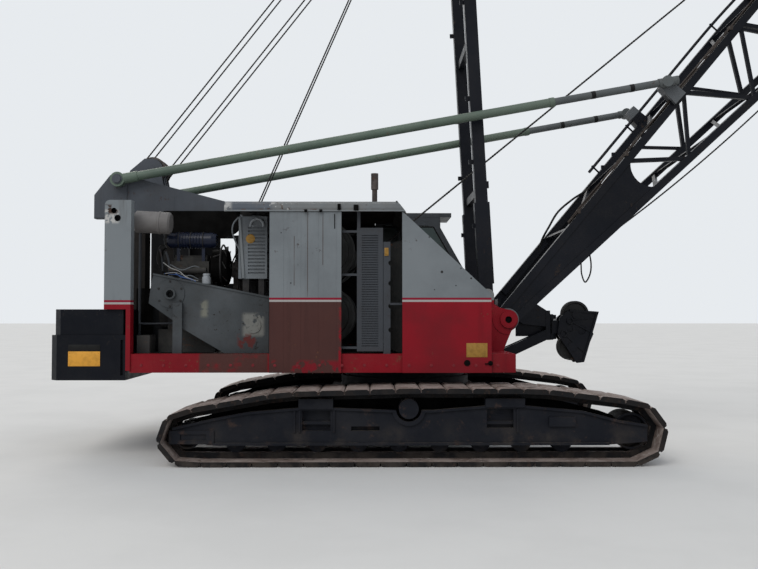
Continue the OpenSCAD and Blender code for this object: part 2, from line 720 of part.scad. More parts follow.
// Machinery: engine with its fan at the front end
crank_x = [-3060, -2520];
module engine() color("#4a4d4c") at_slew() translate([0, -engine_y, 0]) {
  // Bearers, sump, block, head and valve cover
  for (y = [-260, 200])
    box([crank_x[0] - 120, y, deck_top], [crank_x[1] + 60, y + 60, 1560]);
  box([crank_x[0] + 40, -190, 1420], [crank_x[1] - 40, 190, 1760]);
  box([crank_x[0], -270, 1555], [crank_x[1], 270, 2230]);
  box([crank_x[0] + 25, -235, 2225], [crank_x[1] - 30, 150, 2430]);
  plate_y([[-200, 2420], [-200, 2470], [-160, 2510], [60, 2510], [100, 2470], [100, 2420]],
    crank_x[0] + 60, crank_x[1] - 60);
  // Inlet and exhaust ports along the head
  for (i = [0:5])
    box([crank_x[0] + 50 + i * 78, -310, 2280], [crank_x[0] + 95 + i * 78, -230, 2330]);
  shaft(crank_x[0] + 30, crank_x[1] - 40, -330, 2305, 42);
  // Flywheel housing
  shaft(crank_x[0] - 110, crank_x[0] + 5, 0, 1830, 290);
  // Fan with its hub, belt wheel and eight blades
  shaft(crank_x[1] - 60, crank_x[1] + 215, 0, fan_z, 34);
  shaft(crank_x[1] + 20, crank_x[1] + 62, 0, fan_z, 120);
  shaft(crank_x[1] + 130, crank_x[1] + 200, 0, fan_z, 70);
  for (a = [0:45:315])
    translate([crank_x[1] + 165, 0, fan_z]) rotate([a, 0, 0])
      rotate([0, 0, 28]) box([-4, -48, 50], [4, 48, fan_r]);
  // Belt wheel of the crankshaft
  shaft(crank_x[1] - 6, crank_x[1] + 64, 0, 1830, 105);
  // Water pipe to the radiator
  shaft(crank_x[1] - 60, crank_x[1] + 4, 165, 2360, 36);
  // Battery box beside the rear post
  box([-3372, -560, deck_top], [-3215, -260, 1490]);
}
cleaner_y = -990;
cleaner_z = 2700;
cleaner_x0 = -3086;
cleaner_x1 = -2454;
cleaner_ribs = 9;
rib_pitch = 36;
module air_cleaner() color("#1d2430") at_slew() {
  translate([cleaner_x0, cleaner_y, cleaner_z]) rotate([0, 90, 0]) rotate_extrude($fn = 48)
    polygon([
      [0, 0], [cleaner_r * 0.7, 0], [cleaner_r, 30], [cleaner_r, 110],
      each [for (i = [0:cleaner_ribs - 1]) each [
        [cleaner_r, 120 + i * rib_pitch], [cleaner_r + 8, 126 + i * rib_pitch],
        [cleaner_r + 8, 136 + i * rib_pitch], [cleaner_r, 142 + i * rib_pitch]]],
      [cleaner_r, cleaner_x1 - cleaner_x0 - 60], [cleaner_r * 0.82, cleaner_x1 - cleaner_x0],
      [0, cleaner_x1 - cleaner_x0]
    ]);
  // Saddles on the head
  for (x = [-2960, -2640])
    box([x, cleaner_y - 34, 2430 + seat], [x + 40, cleaner_y - 5, cleaner_z - 60]);
}
// Rear end of the muffler, which leans down towards the front
muffler_at = [-3430, -1250, 2915];
muffler_tilt = 3;
seam_at = 0.66 * muffler_l;
module muffler() color("#b9ae96") at_slew() {
  translate(muffler_at) rotate([0, 90 + muffler_tilt, 0]) rotate_extrude($fn = 48)
    polygon([[0, 0], [muffler_r - 22, 0], [muffler_r, 22], [muffler_r, seam_at], [muffler_r + 7, seam_at + 5],
             [muffler_r + 7, seam_at + 25], [muffler_r, seam_at + 30], [muffler_r, muffler_l - 22],
             [muffler_r - 22, muffler_l], [0, muffler_l]]);
  // Strap to the gantry's leg
  box([front_leg[0] + 40, muffler_at.y + 100, muffler_at.z - 40],
      [front_leg[0] + 90, -girder_out + 4 - seat, muffler_at.z + 20]);
}
rad = [[-2140, -1220, 2200], [-1780, -350, 2985]];
slot_n = 14;
fin_pitch = 62;
slot_pitch = (rad[1].z - rad[0].z - 170) / slot_n;
module radiator() color("#8a8f8c") at_slew() {
  difference() {
    box(rad[0], rad[1]);
    // Louvres in the outer side and the core's opening towards the fan
    for (i = [0:slot_n - 1])
      box([rad[0].x + 120, rad[0].y - 1, rad[0].z + 60 + i * slot_pitch],
          [rad[1].x - 25, rad[0].y + 18, rad[0].z + 82 + i * slot_pitch]);
    box([rad[0].x - 1, rad[0].y + 60, rad[0].z + 60], [rad[0].x + 70, rad[1].y - 60, rad[1].z - 60]);
  }
  // Fins in the core's opening
  for (i = [0:11])
    box([rad[0].x + 20, rad[0].y + 100 + i * fin_pitch, rad[0].z + 55],
        [rad[0].x + 75, rad[0].y + 108 + i * fin_pitch, rad[1].z - 55]);
  // Legs and their foot rail
  for (y = [rad[0].y + 30, rad[1].y - 90])
    box([rad[0].x + 50, y, deck_top], [rad[0].x + 130, y + 60, rad[0].z + 5]);
  for (y = [rad[0].y + 30, rad[1].y - 90])
    box([rad[1].x - 110, y, deck_top], [rad[1].x - 40, y + 60, rad[0].z + 5]);
  // Filler neck
  translate([rad[0].x + 170, rad[0].y + 250, rad[1].z - 2]) cylinder(r = 45, h = 40);
}
case_outline = [
  [-3170, 2253], [-1740, 1967], [-1740, deck_top], [-2290, deck_top], [-2800, 1568],
  [-2920, 1670], [-3230, 1888], [-3200, 2146]
];
case_y = [-1350, -1200];
case_hub = [-2960, 2005];
module gear_case() color("#8a8f8c") at_slew() {
  difference() {
    union() {
      plate(case_outline, case_y[0], case_y[1]);
      // Rim along the upper edge
      plate([[-3178, 2262], [-1732, 1972], [-1732, 1950], [-3178, 2240]], case_y[0] - 14, case_y[0] + 1);
      // Bearing cover with its boss
      pin(case_hub.x, case_hub.y, 175, case_y[0] - 10, case_y[0] + 2);
      pin(case_hub.x, case_hub.y, 68, case_y[0] - 48, case_y[0] + 3);
      pin(-1930, 1610, 93, case_y[0] - 12, case_y[0] + 4);
    }
    pin(case_hub.x, case_hub.y, 47, case_y[0] - 50, case_y[0] + 90);
  }
  // Post in front of the case
  box([-2918, case_y[0] - 60, deck_top], [-2804, case_y[0] - 15, 1894]);
  box([-2900, case_y[0] - 20, 1720], [-2824, case_y[0] + 5, 1880]);
}

// Inner panel of the open bay
louvre_y = [house_y - 100, house_y - 62];
louvre_x = [-642, -323];
louvre_z1 = 2811;
bay_slot_n = 46;
bay_slot_pitch = 30;
bay_slot_h = 12;
module bay_louvre() color("#a9adab") at_slew() right() {
  difference() {
    box([louvre_x[0], louvre_y[0], deck_top + 30], [louvre_x[1], louvre_y[1], louvre_z1]);
    for (i = [0:bay_slot_n - 1])
      box([louvre_x[0] + 58, louvre_y[1] - 14, deck_top + 90 + i * bay_slot_pitch],
          [louvre_x[1] - 58, louvre_y[1] + 1, deck_top + 90 + bay_slot_h + i * bay_slot_pitch]);
  }
  // Post beside it, with round notches in its edge
  difference() {
    box([-318, louvre_y[0] + 5, deck_top], [-232, louvre_y[1] - 5, 2640]);
    for (z = [2380, 2130, 1850, 1560])
      pin(-228, z, 30, louvre_y[0], louvre_y[1]);
  }
  box([louvre_x[1] - 10, louvre_y[0] + 8, 1400], [-310, louvre_y[1] - 9, 1450]);
  box([louvre_x[1] - 10, louvre_y[0] + 8, 2500], [-310, louvre_y[1] - 9, 2550]);
  // Rails to the doorpost, and the strut up to the eaves
  for (z = [2752, 2222, 1330])
    box([-900, louvre_y[0] + 3, z], [louvre_x[0] + 12, louvre_y[1] - 3, z + 28]);
  box([-930, louvre_y[0] - 4, deck_top], [-890, louvre_y[1] + 4, eave_z - 20]);
  box([louvre_x[0] + 2, louvre_y[0] + 6, louvre_z1 - 20], [louvre_x[0] + 42, louvre_y[1] - 6, eave_z + 50]);
  box([-240, louvre_y[0] + 9, 1866], [-bay_front + 30, louvre_y[1] - 11, 1892]);
}

module exhaust_stack() color("#55524e") at_slew() translate([-420, -300, 0]) {
  difference() {
    union() {
      translate([0, 0, roof_z]) cylinder(r = stack_r - 14, h = 340);
      translate([0, 0, roof_z + 320]) cylinder(r = stack_r, h = 220);
      translate([0, 0, roof_z]) cylinder(r = stack_r + 20, h = 14);
    }
    translate([0, 0, roof_z + 300]) cylinder(r = stack_r - 20, h = 260);
  }
}

// Winch
shaft_r = 60;
stand_in = drum_half + clear + 4;
stand_out = stand_in + 50;
guard_outline = [
  each arc([-60, 2330], 350, 0, 180, 12), [-410, 1700], each arc([-60, 1620], 350, 190, 350, 12), [290, 1700]
];
module drum_stand() color("#6f7472") at_slew() {
  both() {
    plate([[-drum_x - 230, deck_top], [-drum_x + 230, deck_top], [-drum_x + 130, 2000],
           [-drum_x + 120, upper_drum_z + 60], each arc([-drum_x, upper_drum_z + 60], 120, 10, 170, 8),
           [-drum_x - 130, 2000]], stand_in, stand_out);
    for (z = [lower_drum_z, upper_drum_z])
      pin(-drum_x, z, 105, stand_out - 5, stand_out + 40);
  }
  pin(-drum_x, lower_drum_z, shaft_r, -stand_in - 45, stand_in + 45);
  pin(-drum_x, upper_drum_z, shaft_r, -stand_in - 45, stand_in + 45);
  // Guard over the gear train ahead of the drums, on its feet
  plate(guard_outline, -1250, -1070);
  for (x = [-300, 120])
    box([x, -1230, deck_top], [x + 60, -1090, 1420]);
  shaft(-420, -60, -1160, 1990, 60);
}
module drum(z) at_slew() translate([-drum_x, 0, z]) rotate([90, 0, 0]) rotate_extrude($fn = 72)
  polygon([
    [shaft_r + run, -drum_half], [drum_r - 90, -drum_half], [drum_r - 80, -drum_half + 22],
    [drum_r - 30, -drum_half + 22], [drum_r - 26, -drum_half], [drum_r, -drum_half],
    [drum_r, -drum_half + 110], [drum_r - 26, -drum_half + 110], [barrel_r, -drum_half + 90],
    [barrel_r, -25], [drum_r - 40, -18], [drum_r - 40, 18], [barrel_r, 25],
    [barrel_r, drum_half - 90], [drum_r - 26, drum_half - 110], [drum_r, drum_half - 110],
    [drum_r, drum_half], [drum_r - 26, drum_half], [drum_r - 30, drum_half - 22],
    [drum_r - 80, drum_half - 22],
    [drum_r - 90, drum_half], [shaft_r + run, drum_half]
  ]);
module lower_drum() color("#55595a") drum(lower_drum_z);
module upper_drum() color("#55595a") drum(upper_drum_z);

// Cab on the left side
cab_front = 1000;
cab_sill = [cab_front, 2290];
cab_brow = [575, 3050];
cab_visor = 740;
module cab_profile(y0, y1, inset)
  plate([[-cab_rear + inset, deck_top + inset], [cab_front - inset, deck_top + inset],
         cab_sill - [inset, 0], cab_brow - [inset, 0], [cab_brow.x - inset, cab_top - 60 - inset],
         [-cab_rear + inset, cab_top - 60 - inset]], y0, y1);
// Window cuts of the cab's shell, each smaller by g
module cab_windows(g) {
  // Windshield, lower front light, inner side light and rear light
  plate([[1100, 2330 + g], [860 - g, 2330 + g], [500 + g, 2990 - g], [700, 2990 - g]],
    cab_y + 75 + g, cab_out - 75 - g);
  box([cab_front - 100, cab_y + 90 + g, 1750 + g], [cab_front + 50, cab_out - 90 - g, 2240 - g]);
  box([-250 + g, cab_y - 1, 2350 + g], [400 - g, cab_y + cab_t + 1, 3080 - g]);
  box([-cab_rear - 1, cab_y + 120 + g, 2400 + g], [-cab_rear + cab_t + 1, cab_out - 120 - g, 3050 - g]);
}
door_x0 = -200;
door_x1 = 450;
door_z0 = deck_top + 60;
door_z1 = 3080;
module cab_shell() color("#a9adab") at_slew() {
  hinge_ears();
  difference() {
    cab_profile(cab_y, cab_out, 0);
    cab_profile(cab_y + cab_t, cab_out - cab_t, cab_t);
    box([door_x0, cab_out - cab_t - 1, door_z0], [door_x1, cab_out + 1, door_z1]);
    cab_windows(0);
  }
  // Roof slab with its visor
  box([-cab_rear - 10, cab_y - 4, cab_top - 62], [cab_visor, cab_out + 16, cab_top]);
  // Step rail under the door
  box([door_x0, cab_out - 5, deck_top + 5], [door_x1, cab_out + 60, deck_top + 30]);
}
// Door hinges: a knuckle on the door turns on a pin between two ears on the shell
hinge_y = cab_out + 14.5;
hinge_h = 80;
hinge_pin_r = 7;
hinge_zs = [1600, 2100, 2850];
module hinge_ears() for (z = hinge_zs) {
  for (e = [z - 36, z + hinge_h + 6]) {
    box([door_x1 - 9, cab_out + 1, e], [door_x1 + 50, hinge_y + 9, e + 30]);
    box([door_x1 + 12, cab_out - 1, e], [door_x1 + 50, cab_out + 2, e + 30]);
  }
  translate([door_x1, hinge_y, z - 20]) cylinder(r = hinge_pin_r, h = hinge_h + 40);
}
module hinge_knuckles() for (z = hinge_zs) difference() {
  union() {
    translate([door_x1, hinge_y, z]) cylinder(r = 13, h = hinge_h);
    box([door_x1 - 80, cab_out - 1, z], [door_x1 - clear, cab_out + 6, z + hinge_h]);
    box([door_x1 - 80, cab_out + 1, z], [door_x1, cab_out + 6, z + hinge_h]);
  }
  translate([door_x1, hinge_y, z - 1]) cylinder(r = hinge_pin_r + run, h = hinge_h + 2);
}
module door_window(g, y0, y1)
  box([door_x0 + 90 + g, y0, 2300 + g], [door_x1 - 90 - g, y1, door_z1 - 90 - g]);
module cab_door() color("#a9adab") at_slew() {
  difference() {
    box([door_x0 + clear, cab_out - cab_t, door_z0 + clear], [door_x1 - clear, cab_out, door_z1 - clear]);
    door_window(0, cab_out - cab_t - 1, cab_out + 1);
    // Pressed lower panel
    box([door_x0 + 90, cab_out - 12, door_z0 + 120], [door_x1 - 90, cab_out + 1, 2200]);
  }
  hinge_knuckles();
  // Handle
  box([door_x0 + 30, cab_out - 1, 2010], [door_x0 + 60, cab_out + 30, 2040]);
  box([door_x0 + 30, cab_out + 20, 2010], [door_x0 + 150, cab_out + 34, 2038]);
}
module door_glass() color([0.6, 0.75, 0.7, 0.4]) at_slew()
  door_window(seat, cab_out - 23, cab_out - 17);
module cab_glass() color([0.6, 0.75, 0.7, 0.4]) at_slew() intersection() {
  difference() {
    cab_profile(cab_y + 17, cab_out - 17, 17);
    cab_profile(cab_y + 23, cab_out - 23, 23);
  }
  cab_windows(seat);
}
seat_y = cab_y + 180;
module cab_seat() color("#2a2a2a") at_slew() {
  box([-110, seat_y + 60, deck_top + cab_t], [260, seat_y + 360, 1560]);
  plate([[-150, 1550], [300, 1550], [320, 1600], [300, 1690], [-150, 1670]], seat_y, seat_y + 420);
  plate([[-150, 1660], [-60, 1665], [-120, 2320], [-200, 2320]], seat_y + 10, seat_y + 410);
  // Lever console beside the seat
  box([380, seat_y - 100, deck_top + cab_t], [520, seat_y + 60, 1800]);
}

// Fairlead
arm_y = [70, 105];
arm_x = swivel_x - 75;
lug_r = 70;
trunnion_r = 30;
lug_z = [1400, 1680];
lug_h = 60;
module fairlead_arms() color("#1b1c1f") at_slew() {
  box([deck_front, -240, deck_z + 20], [deck_front + 45, 240, deck_top - 5]);
  plate_y([[-200, deck_top - 10], [200, deck_top - 10], [130, 1960], [-130, 1960]],
    deck_front + 2, deck_front + 44);
  both() {
    plate([[deck_front + 40, 1090], [deck_front + 40, 1250], [arm_x, 1540], [arm_x, 1395]],
      arm_y[0], arm_y[1]);
    plate([[deck_front + 40, 1790], [deck_front + 40, 1958], [arm_x - 215, 1935], [arm_x, 1796],
           [arm_x, 1575], [arm_x - 325, 1610]], arm_y[0] + 3, arm_y[1] - 3);
  }
  box([arm_x - 20, -arm_y[1] - 4, lug_z[0] - 10], [arm_x + 40, arm_y[1] + 4, 1800]);
  difference() {
    for (z = lug_z)
      translate([swivel_x, 0, z]) cylinder(r = lug_r, h = lug_h);
    translate([swivel_x, 0, lug_z[0] - 100]) cylinder(r = trunnion_r + run, h = 600);
  }
}
head_upper = [swivel_x + 330, 1745];
head_lower = [swivel_x + 270, 1295];
// Corners of the head's cheek, from the front one round to the rear top one
head_outline = [
  [swivel_x + 640, 1785], [swivel_x + 430, 1085], [swivel_x + 330, 1072], [swivel_x + 65, 1467],
  [swivel_x + 100, 1705], [swivel_x + 235, 1815]
];
module head_cheek(y0, y1) difference() {
  plate(head_outline, y0, y1);
  // Lightening holes between the two sheaves
  pin(swivel_x + 400, 1530, 62, y0 - 1, y1 + 1);
  pin(swivel_x + 235, 1545, 45, y0 - 1, y1 + 1);
}
module fairlead_head() color("#1b1c1f") at_slew() {
  translate([swivel_x, 0, lug_z[0] - 10]) cylinder(r = trunnion_r, h = lug_z[1] + lug_h - lug_z[0] + 20);
  both() {
    head_cheek(fair_half - 26, fair_half);
    // Rims along the front, upper and lower edges of the cheek
    plate([head_outline[0], head_outline[1], head_outline[1] + [-30, -4], head_outline[0] + [-34, -10]],
      fair_half - 1, fair_half + 22);
    plate([head_outline[0], head_outline[5], head_outline[5] + [5, -30], head_outline[0] + [-18, -28]],
      fair_half - 2, fair_half + 20);
    plate([head_outline[1], head_outline[2], head_outline[3], head_outline[3] + [31, 14],
           head_outline[2] + [12, 31], head_outline[1] + [-6, 28]], fair_half - 3, fair_half + 21);
    pin(head_upper.x, head_upper.y, 62, fair_half - 4, fair_half + 16);
    pin(head_lower.x, head_lower.y, 62, fair_half - 4, fair_half + 16);
  }
  // Block on the trunnion, and the bridge between the cheeks
  box([swivel_x, -60, lug_z[0] + lug_h + 20], [swivel_x + 130, 60, lug_z[1] - 20]);
  box([swivel_x + 120, -fair_half + 1, 1500], [swivel_x + 155, fair_half - 1, 1640]);
  pin(head_upper.x, head_upper.y, fair_pin_r, -fair_half, fair_half);
  pin(head_lower.x, head_lower.y, fair_pin_r, -fair_half, fair_half);
}
fair_pin_r = 35;
module fairlead_upper_sheave() color("#3a3533") at_slew()
  translate([head_upper.x, 0, head_upper.y]) sheave(fair_sheave_r, 120, fair_pin_r + run);
module fairlead_lower_sheave() color("#3a3533") at_slew()
  translate([head_lower.x, 0, head_lower.y]) sheave(fair_sheave_r, 120, fair_pin_r + run);

// Boom: u runs along it and v across its depth
chord_y = boom_w / 2 - chord / 2;
full_u = 5700;
// Heights of the chords' middles at the foot, over and under the boom's axis
top_root = 115;
bottom_root = 70;
function top_v(u) = u < full_u ? top_root + (boom_half - top_root) * u / full_u : boom_half;
function bottom_v(u) = u < full_u ? -bottom_root - (boom_half - bottom_root) * u / full_u : -boom_half;
base_bays = 3;
bay_l = (base_l - 60 - web_u) / base_bays;
// Lacing in the upper and lower planes crosses from one side to the other
plane_u = 1660;
plane_bays = 3;
plane_l = (base_l - 240 - plane_u) / plane_bays;

// A chord whose middle follows the given points
module chord_plate(path)
  plate(strip([for (p = path) p + [0, chord / 2]], chord), chord_y - chord / 2, chord_y + chord / 2);

// Lacing of one side, zigzag between the chords: first is 1 where it starts at the upper chord
module side_lacing(side, u0, l, bays, first) for (k = [0:2 * bays - 1]) {
  up = (k + first) % 2;
  ua = u0 + k * l / 2;
  ub = ua + l / 2;
  va = up == 1 ? top_v(ua) : bottom_v(ua);
  vb = up == 1 ? bottom_v(ub) : top_v(ub);
  bar([ua, side * chord_y, va], [ub, side * chord_y, vb], lace - 10 * (k % 2), lace - 8 * (k % 2));
}

// Lacing of the upper or the lower plane, from its right side at u0
module plane_lacing(u0, l, bays, upper) for (k = [0:2 * bays - 1]) {
  side = k % 2 == 0 ? -1 : 1;
  ua = u0 + k * l / 2;
  ub = ua + l / 2;
  bar([ua, side * chord_y, upper ? top_v(ua) : bottom_v(ua)],
      [ub, -side * chord_y, upper ? top_v(ub) : bottom_v(ub)],
      lace - 4 - 6 * (k % 2), lace - 6 - 6 * (k % 2));
}
module cross_bar(u, v, s) bar([u, -chord_y, v], [u, chord_y, v], s, s);

module boom_base() color("#16171b") at_boom() difference() {
  union() {
    both() {
      chord_plate([[0, top_root], [full_u, boom_half], [base_l, boom_half]]);
      chord_plate([[0, -bottom_root], [full_u, -boom_half], [base_l, -boom_half]]);
      difference() {
        plate([[0, 90], [web_u, top_v(web_u)], [web_u + 340, bottom_v(web_u + 340)], [0, -90]],
          chord_y + 14, chord_y + 34);
        pin(web_u + 200, 0, web_notch_r, chord_y, chord_y + 60);
      }
      pin(0, 0, 150, lug_in, lug_out);
      // Bracket of the boom stop
      plate([[stop_u - 100, top_v(stop_u) - 10], [stop_u + 100, top_v(stop_u) - 6], [stop_u + 85, stop_v + 8],
             [stop_u - 75, stop_v + 8]], chord_y - 30, stop_y - stop_r - clear);
      // Joint collars at the upper end
      for (v = [-boom_half, boom_half])
        box([base_l - 70, chord_y - 66, v - 66], [base_l, chord_y + 66, v + 66]);
    }
    side_lacing(-1, web_u, bay_l, base_bays, 1);
    side_lacing(1, web_u, bay_l, base_bays, 0);
    plane_lacing(plane_u, plane_l, plane_bays, true);
    plane_lacing(web_u, bay_l, base_bays, false);
    cross_bar(1450, top_v(1450), lace + 6);
    cross_bar(2300, bottom_v(2300), lace + 4);
    cross_bar(base_l - 130, boom_half, lace + 2);
    cross_bar(base_l - 130, -boom_half, lace + 2);
  }
  pin(0, 0, foot_pin_r + run, -boom_w, boom_w);
  box([-400, -lug_in, -400], [400, lug_in, 400]);
}

head_y = 350;
head_v = 200;
head_t = 30;
taper_u = 9000;
tip_bays = 2;
tip_bay_l = (taper_u - base_l - 160) / tip_bays;
// Middle of the tapered chord at a distance along the boom
function taper(u) = (u - taper_u) / (boom_l - 300 - taper_u);
function taper_y(u) = chord_y + (head_y - 60 - chord_y) * taper(u);
function taper_v(u) = boom_half + (head_v - boom_half) * taper(u);
module boom_tip() color("#16171b") at_boom() {
  both() {
    for (v = [-1, 1]) {
      bar([base_l, chord_y, v * boom_half], [taper_u, chord_y, v * boom_half], chord, chord);
      bar([taper_u - 10, chord_y, v * boom_half], [boom_l - 300, head_y - 60, v * head_v],
        chord - 4, chord - 4);
      box([base_l, chord_y - 66, v * boom_half - 66], [base_l + 70, chord_y + 66, v * boom_half + 66]);
    }
    // Head plates with the bore for a jib's foot pin
    difference() {
      plate([[boom_l - 620, -262], [boom_l + 40, -150], each arc([boom_l, 0], 150, -60, 60, 8),
             [boom_l + 40, 150], [boom_l - 620, 262]], head_y - head_t, head_y);
      pin(boom_l - jib_pin_back, 0, jib_pin_r, head_y - head_t - 1, head_y + 1);
    }
  }
  side_lacing(-1, base_l + 80, tip_bay_l, tip_bays, 1);
  side_lacing(1, base_l + 80, tip_bay_l, tip_bays, 0);
  plane_lacing(base_l + 80, tip_bay_l, tip_bays, true);
  plane_lacing(base_l + 140, tip_bay_l, tip_bays, false);
  // Frames at the start and in the middle of the taper
  for (v = [-boom_half, boom_half])
    cross_bar(taper_u, v, lace + 4);
  for (side = [-1, 1])
    bar([taper_u, side * chord_y, -boom_half], [taper_u, side * chord_y, boom_half], lace + 2, lace + 2);
  for (u = [taper_u + 950, taper_u + 1850]) {
    for (v = [-1, 1])
      bar([u, -taper_y(u), v * taper_v(u)], [u, taper_y(u), v * taper_v(u)], lace - 2, lace - 2);
    for (side = [-1, 1])
      bar([u, side * taper_y(u), -taper_v(u)], [u, side * taper_y(u), taper_v(u)], lace - 6, lace - 6);
  }
  // Diagonals of the tapered sides
  for (side = [-1, 1]) {
    bar([taper_u + 60, side * chord_y, -boom_half], [taper_u + 890, side * taper_y(taper_u + 890),
         taper_v(taper_u + 890)], lace - 8, lace - 8);
    bar([taper_u + 1010, side * taper_y(taper_u + 1010), taper_v(taper_u + 1010)],
        [taper_u + 1790, side * taper_y(taper_u + 1790), -taper_v(taper_u + 1790)], lace - 12, lace - 12);
  }
  pin(boom_l, 0, head_shaft_r, -pendant_y - 60, pendant_y + 60);
}
module point_sheaves() color("#3a3533") at_boom() for (y = [-200, 0, 200])
  translate([boom_l, y, 0]) sheave(point_sheave_r, 80, head_shaft_r + run);

// Mast
mast_deep = 160;
sleeve_u = 1230;
module mast() color("#141518") at_mast() {
  both() {
    difference() {
      union() {
        box([-60, mast_y - mast_leg / 2 + 2, -mast_deep / 2],
            [mast_l - 230, mast_y + mast_leg / 2 - 2, mast_deep / 2]);
        pin(0, 0, 85, mast_y - mast_leg / 2, mast_y + mast_leg / 2);
        // Sleeve over the lower part of the leg
        box([150, mast_y - mast_leg / 2, -100], [sleeve_u, mast_y + mast_leg / 2, 100]);
      }
      pin(0, 0, 45 + run, mast_y - mast_leg, mast_y + mast_leg);
    }
    // Lugs along the legs' edges
    for (u = [900, 1750, 2600, 3900, 5100])
      box([u, mast_y - 12, mast_deep / 2 - 5], [u + 60, mast_y + 12, mast_deep / 2 + 55]);
    for (u = [1420, 4500])
      box([u, mast_y - 30, -mast_deep / 2 - 30], [u + 90, mast_y + 30, -mast_deep / 2 + 5]);
    plate([[mast_l - 360, -90], [mast_l - 20, -90], each arc([mast_l, 0], 90, -80, 80, 8), [mast_l - 20, 90],
           [mast_l - 360, 90]], 310, 350);
  }
  for (u = [1350, 3400, 5500])
    box([u, -mast_y, -42], [u + 100, mast_y, 42]);
  box([mast_l - 340, -mast_y, -64], [mast_l - 222, mast_y, 64]);
  pin(mast_l, 0, head_shaft_r, -345, 345);
}
module mast_sheaves() color("#3a3533") at_mast() for (y = [-gantry_sheave_y, 0, gantry_sheave_y])
  translate([mast_l, y, 0]) sheave(mast_sheave_r, 80, head_shaft_r + run);

// Boom stops
module stop_tube() at_stop() difference() {
  union() {
    shaft(60, stop_tube_l, stop_y, 0, stop_r);
    pin(0, 0, 95, stop_y - 45, stop_y + 55);
    shaft(80, 260, stop_y, 0, stop_r + 10);
    shaft(stop_tube_l - 70, stop_tube_l - 10, stop_y, 0, stop_r + 5);
  }
  shaft(120, stop_tube_l + 1, stop_y, 0, stop_bore);
  pin(0, 0, 65 + run, stop_y - 90, stop_y + 90);
}
rod_x = stop_l - stop_rod_l;
module stop_rod() at_stop() {
  shaft(rod_x, stop_l - 60, stop_y, 0, stop_rod_r);
  shaft(rod_x, rod_x + 120, stop_y, 0, stop_bore - run);
  // Capped end over its bracket, with the eye plate
  shaft(stop_l - 110, stop_l + 150, stop_y, 0, stop_r);
  pin(stop_l, 0, 74, stop_y - stop_r - 1, stop_y + stop_r);
}
module stop_tube_right() color("#8fa08c") right() stop_tube();
module stop_tube_left() color("#8fa08c") stop_tube();
module stop_rod_right() color("#8c918d") right() stop_rod();
module stop_rod_left() color("#8c918d") stop_rod();

// Pendants
module pendants() color("#2a2a2c") at_slew()
  translate([tip_x, 0, tip_z]) rotate([0, -pendant_angle, 0]) both() {
    difference() {
      union() {
        pin(0, 0, 90, pendant_y - 20, pendant_y + 20);
        shaft(60, pendant_l - 60, pendant_y, 0, 18);
        // Sockets at both ends
        shaft(70, 330, pendant_y, 0, 34);
        shaft(pendant_l - 330, pendant_l - 60, pendant_y, 0, 34);
      }
      pin(0, 0, head_shaft_r + run, pendant_y - 90, pendant_y + 90);
    }
    pin(pendant_l, 0, 80, pendant_y - 20, pendant_y + 20);
  }

module side_frame_right() color("#20242c") at_slew() right() side_frame();
module side_frame_left() color("#20242c") at_slew() side_frame();
module track_right() color("#6d6258") at_slew() right() track();
module track_left() color("#6d6258") at_slew() track();
module wheels_right() color("#26282c") at_slew() right() wheels();
module wheels_left() color("#26282c") at_slew() wheels();

carbody();
side_frame_right();
side_frame_left();
track_right();
track_left();
wheels_right();
wheels_left();
turntable_ring();
deck();
counterweight_lower();
counterweight_upper();
gantry();
roof();
right_rear_post();
right_door_panel();
right_front_panel();
left_wall();
left_rear_post();
front_wall();
engine();
air_cleaner();
muffler();
radiator();
gear_case();
bay_louvre();
exhaust_stack();
drum_stand();
lower_drum();
upper_drum();
cab_shell();
cab_door();
door_glass();
cab_glass();
cab_seat();
fairlead_arms();
fairlead_head();
fairlead_upper_sheave();
fairlead_lower_sheave();
gantry_sheaves();
boom_base();
boom_tip();
point_sheaves();
mast();
mast_sheaves();
stop_tube_right();
stop_tube_left();
stop_rod_right();
stop_rod_left();
pendants();
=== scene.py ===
"""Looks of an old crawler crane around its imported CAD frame.

Metres throughout. +X is forward, +Y is the machine's left side and the ground is z = 0.
Places are written from the slewing axis and turned into the frame with at().
"""
import json
import math
import random

import bmesh
import bpy
from mathutils import Matrix, Vector


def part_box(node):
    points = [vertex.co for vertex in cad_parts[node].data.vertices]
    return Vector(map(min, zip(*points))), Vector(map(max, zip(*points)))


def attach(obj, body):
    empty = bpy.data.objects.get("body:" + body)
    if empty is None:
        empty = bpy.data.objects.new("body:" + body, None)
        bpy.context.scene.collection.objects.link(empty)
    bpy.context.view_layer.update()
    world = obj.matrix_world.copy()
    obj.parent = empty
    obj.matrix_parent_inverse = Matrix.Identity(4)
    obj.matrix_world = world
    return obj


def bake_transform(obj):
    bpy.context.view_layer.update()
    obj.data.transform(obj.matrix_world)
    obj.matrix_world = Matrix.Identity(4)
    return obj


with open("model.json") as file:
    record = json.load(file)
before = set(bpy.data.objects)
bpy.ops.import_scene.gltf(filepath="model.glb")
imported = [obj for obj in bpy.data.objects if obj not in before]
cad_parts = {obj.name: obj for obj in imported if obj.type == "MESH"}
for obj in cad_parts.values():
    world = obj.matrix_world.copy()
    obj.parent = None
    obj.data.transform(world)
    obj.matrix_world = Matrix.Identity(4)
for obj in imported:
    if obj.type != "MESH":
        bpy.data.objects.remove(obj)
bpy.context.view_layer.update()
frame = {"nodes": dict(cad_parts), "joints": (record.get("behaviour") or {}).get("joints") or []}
JOINT = {j["name"]: Vector(j["pos_m"]) for j in frame["joints"] if "pos_m" in j}
JOINT_AXIS = {j["name"]: Vector(j["axis"]) for j in frame["joints"]}
SLEW = JOINT["swing"].x
SCENE = bpy.context.scene
random.seed(7)


def at(x, y, z):
    """A place given from the slewing axis, in the frame."""
    return Vector((x + SLEW, y, z))


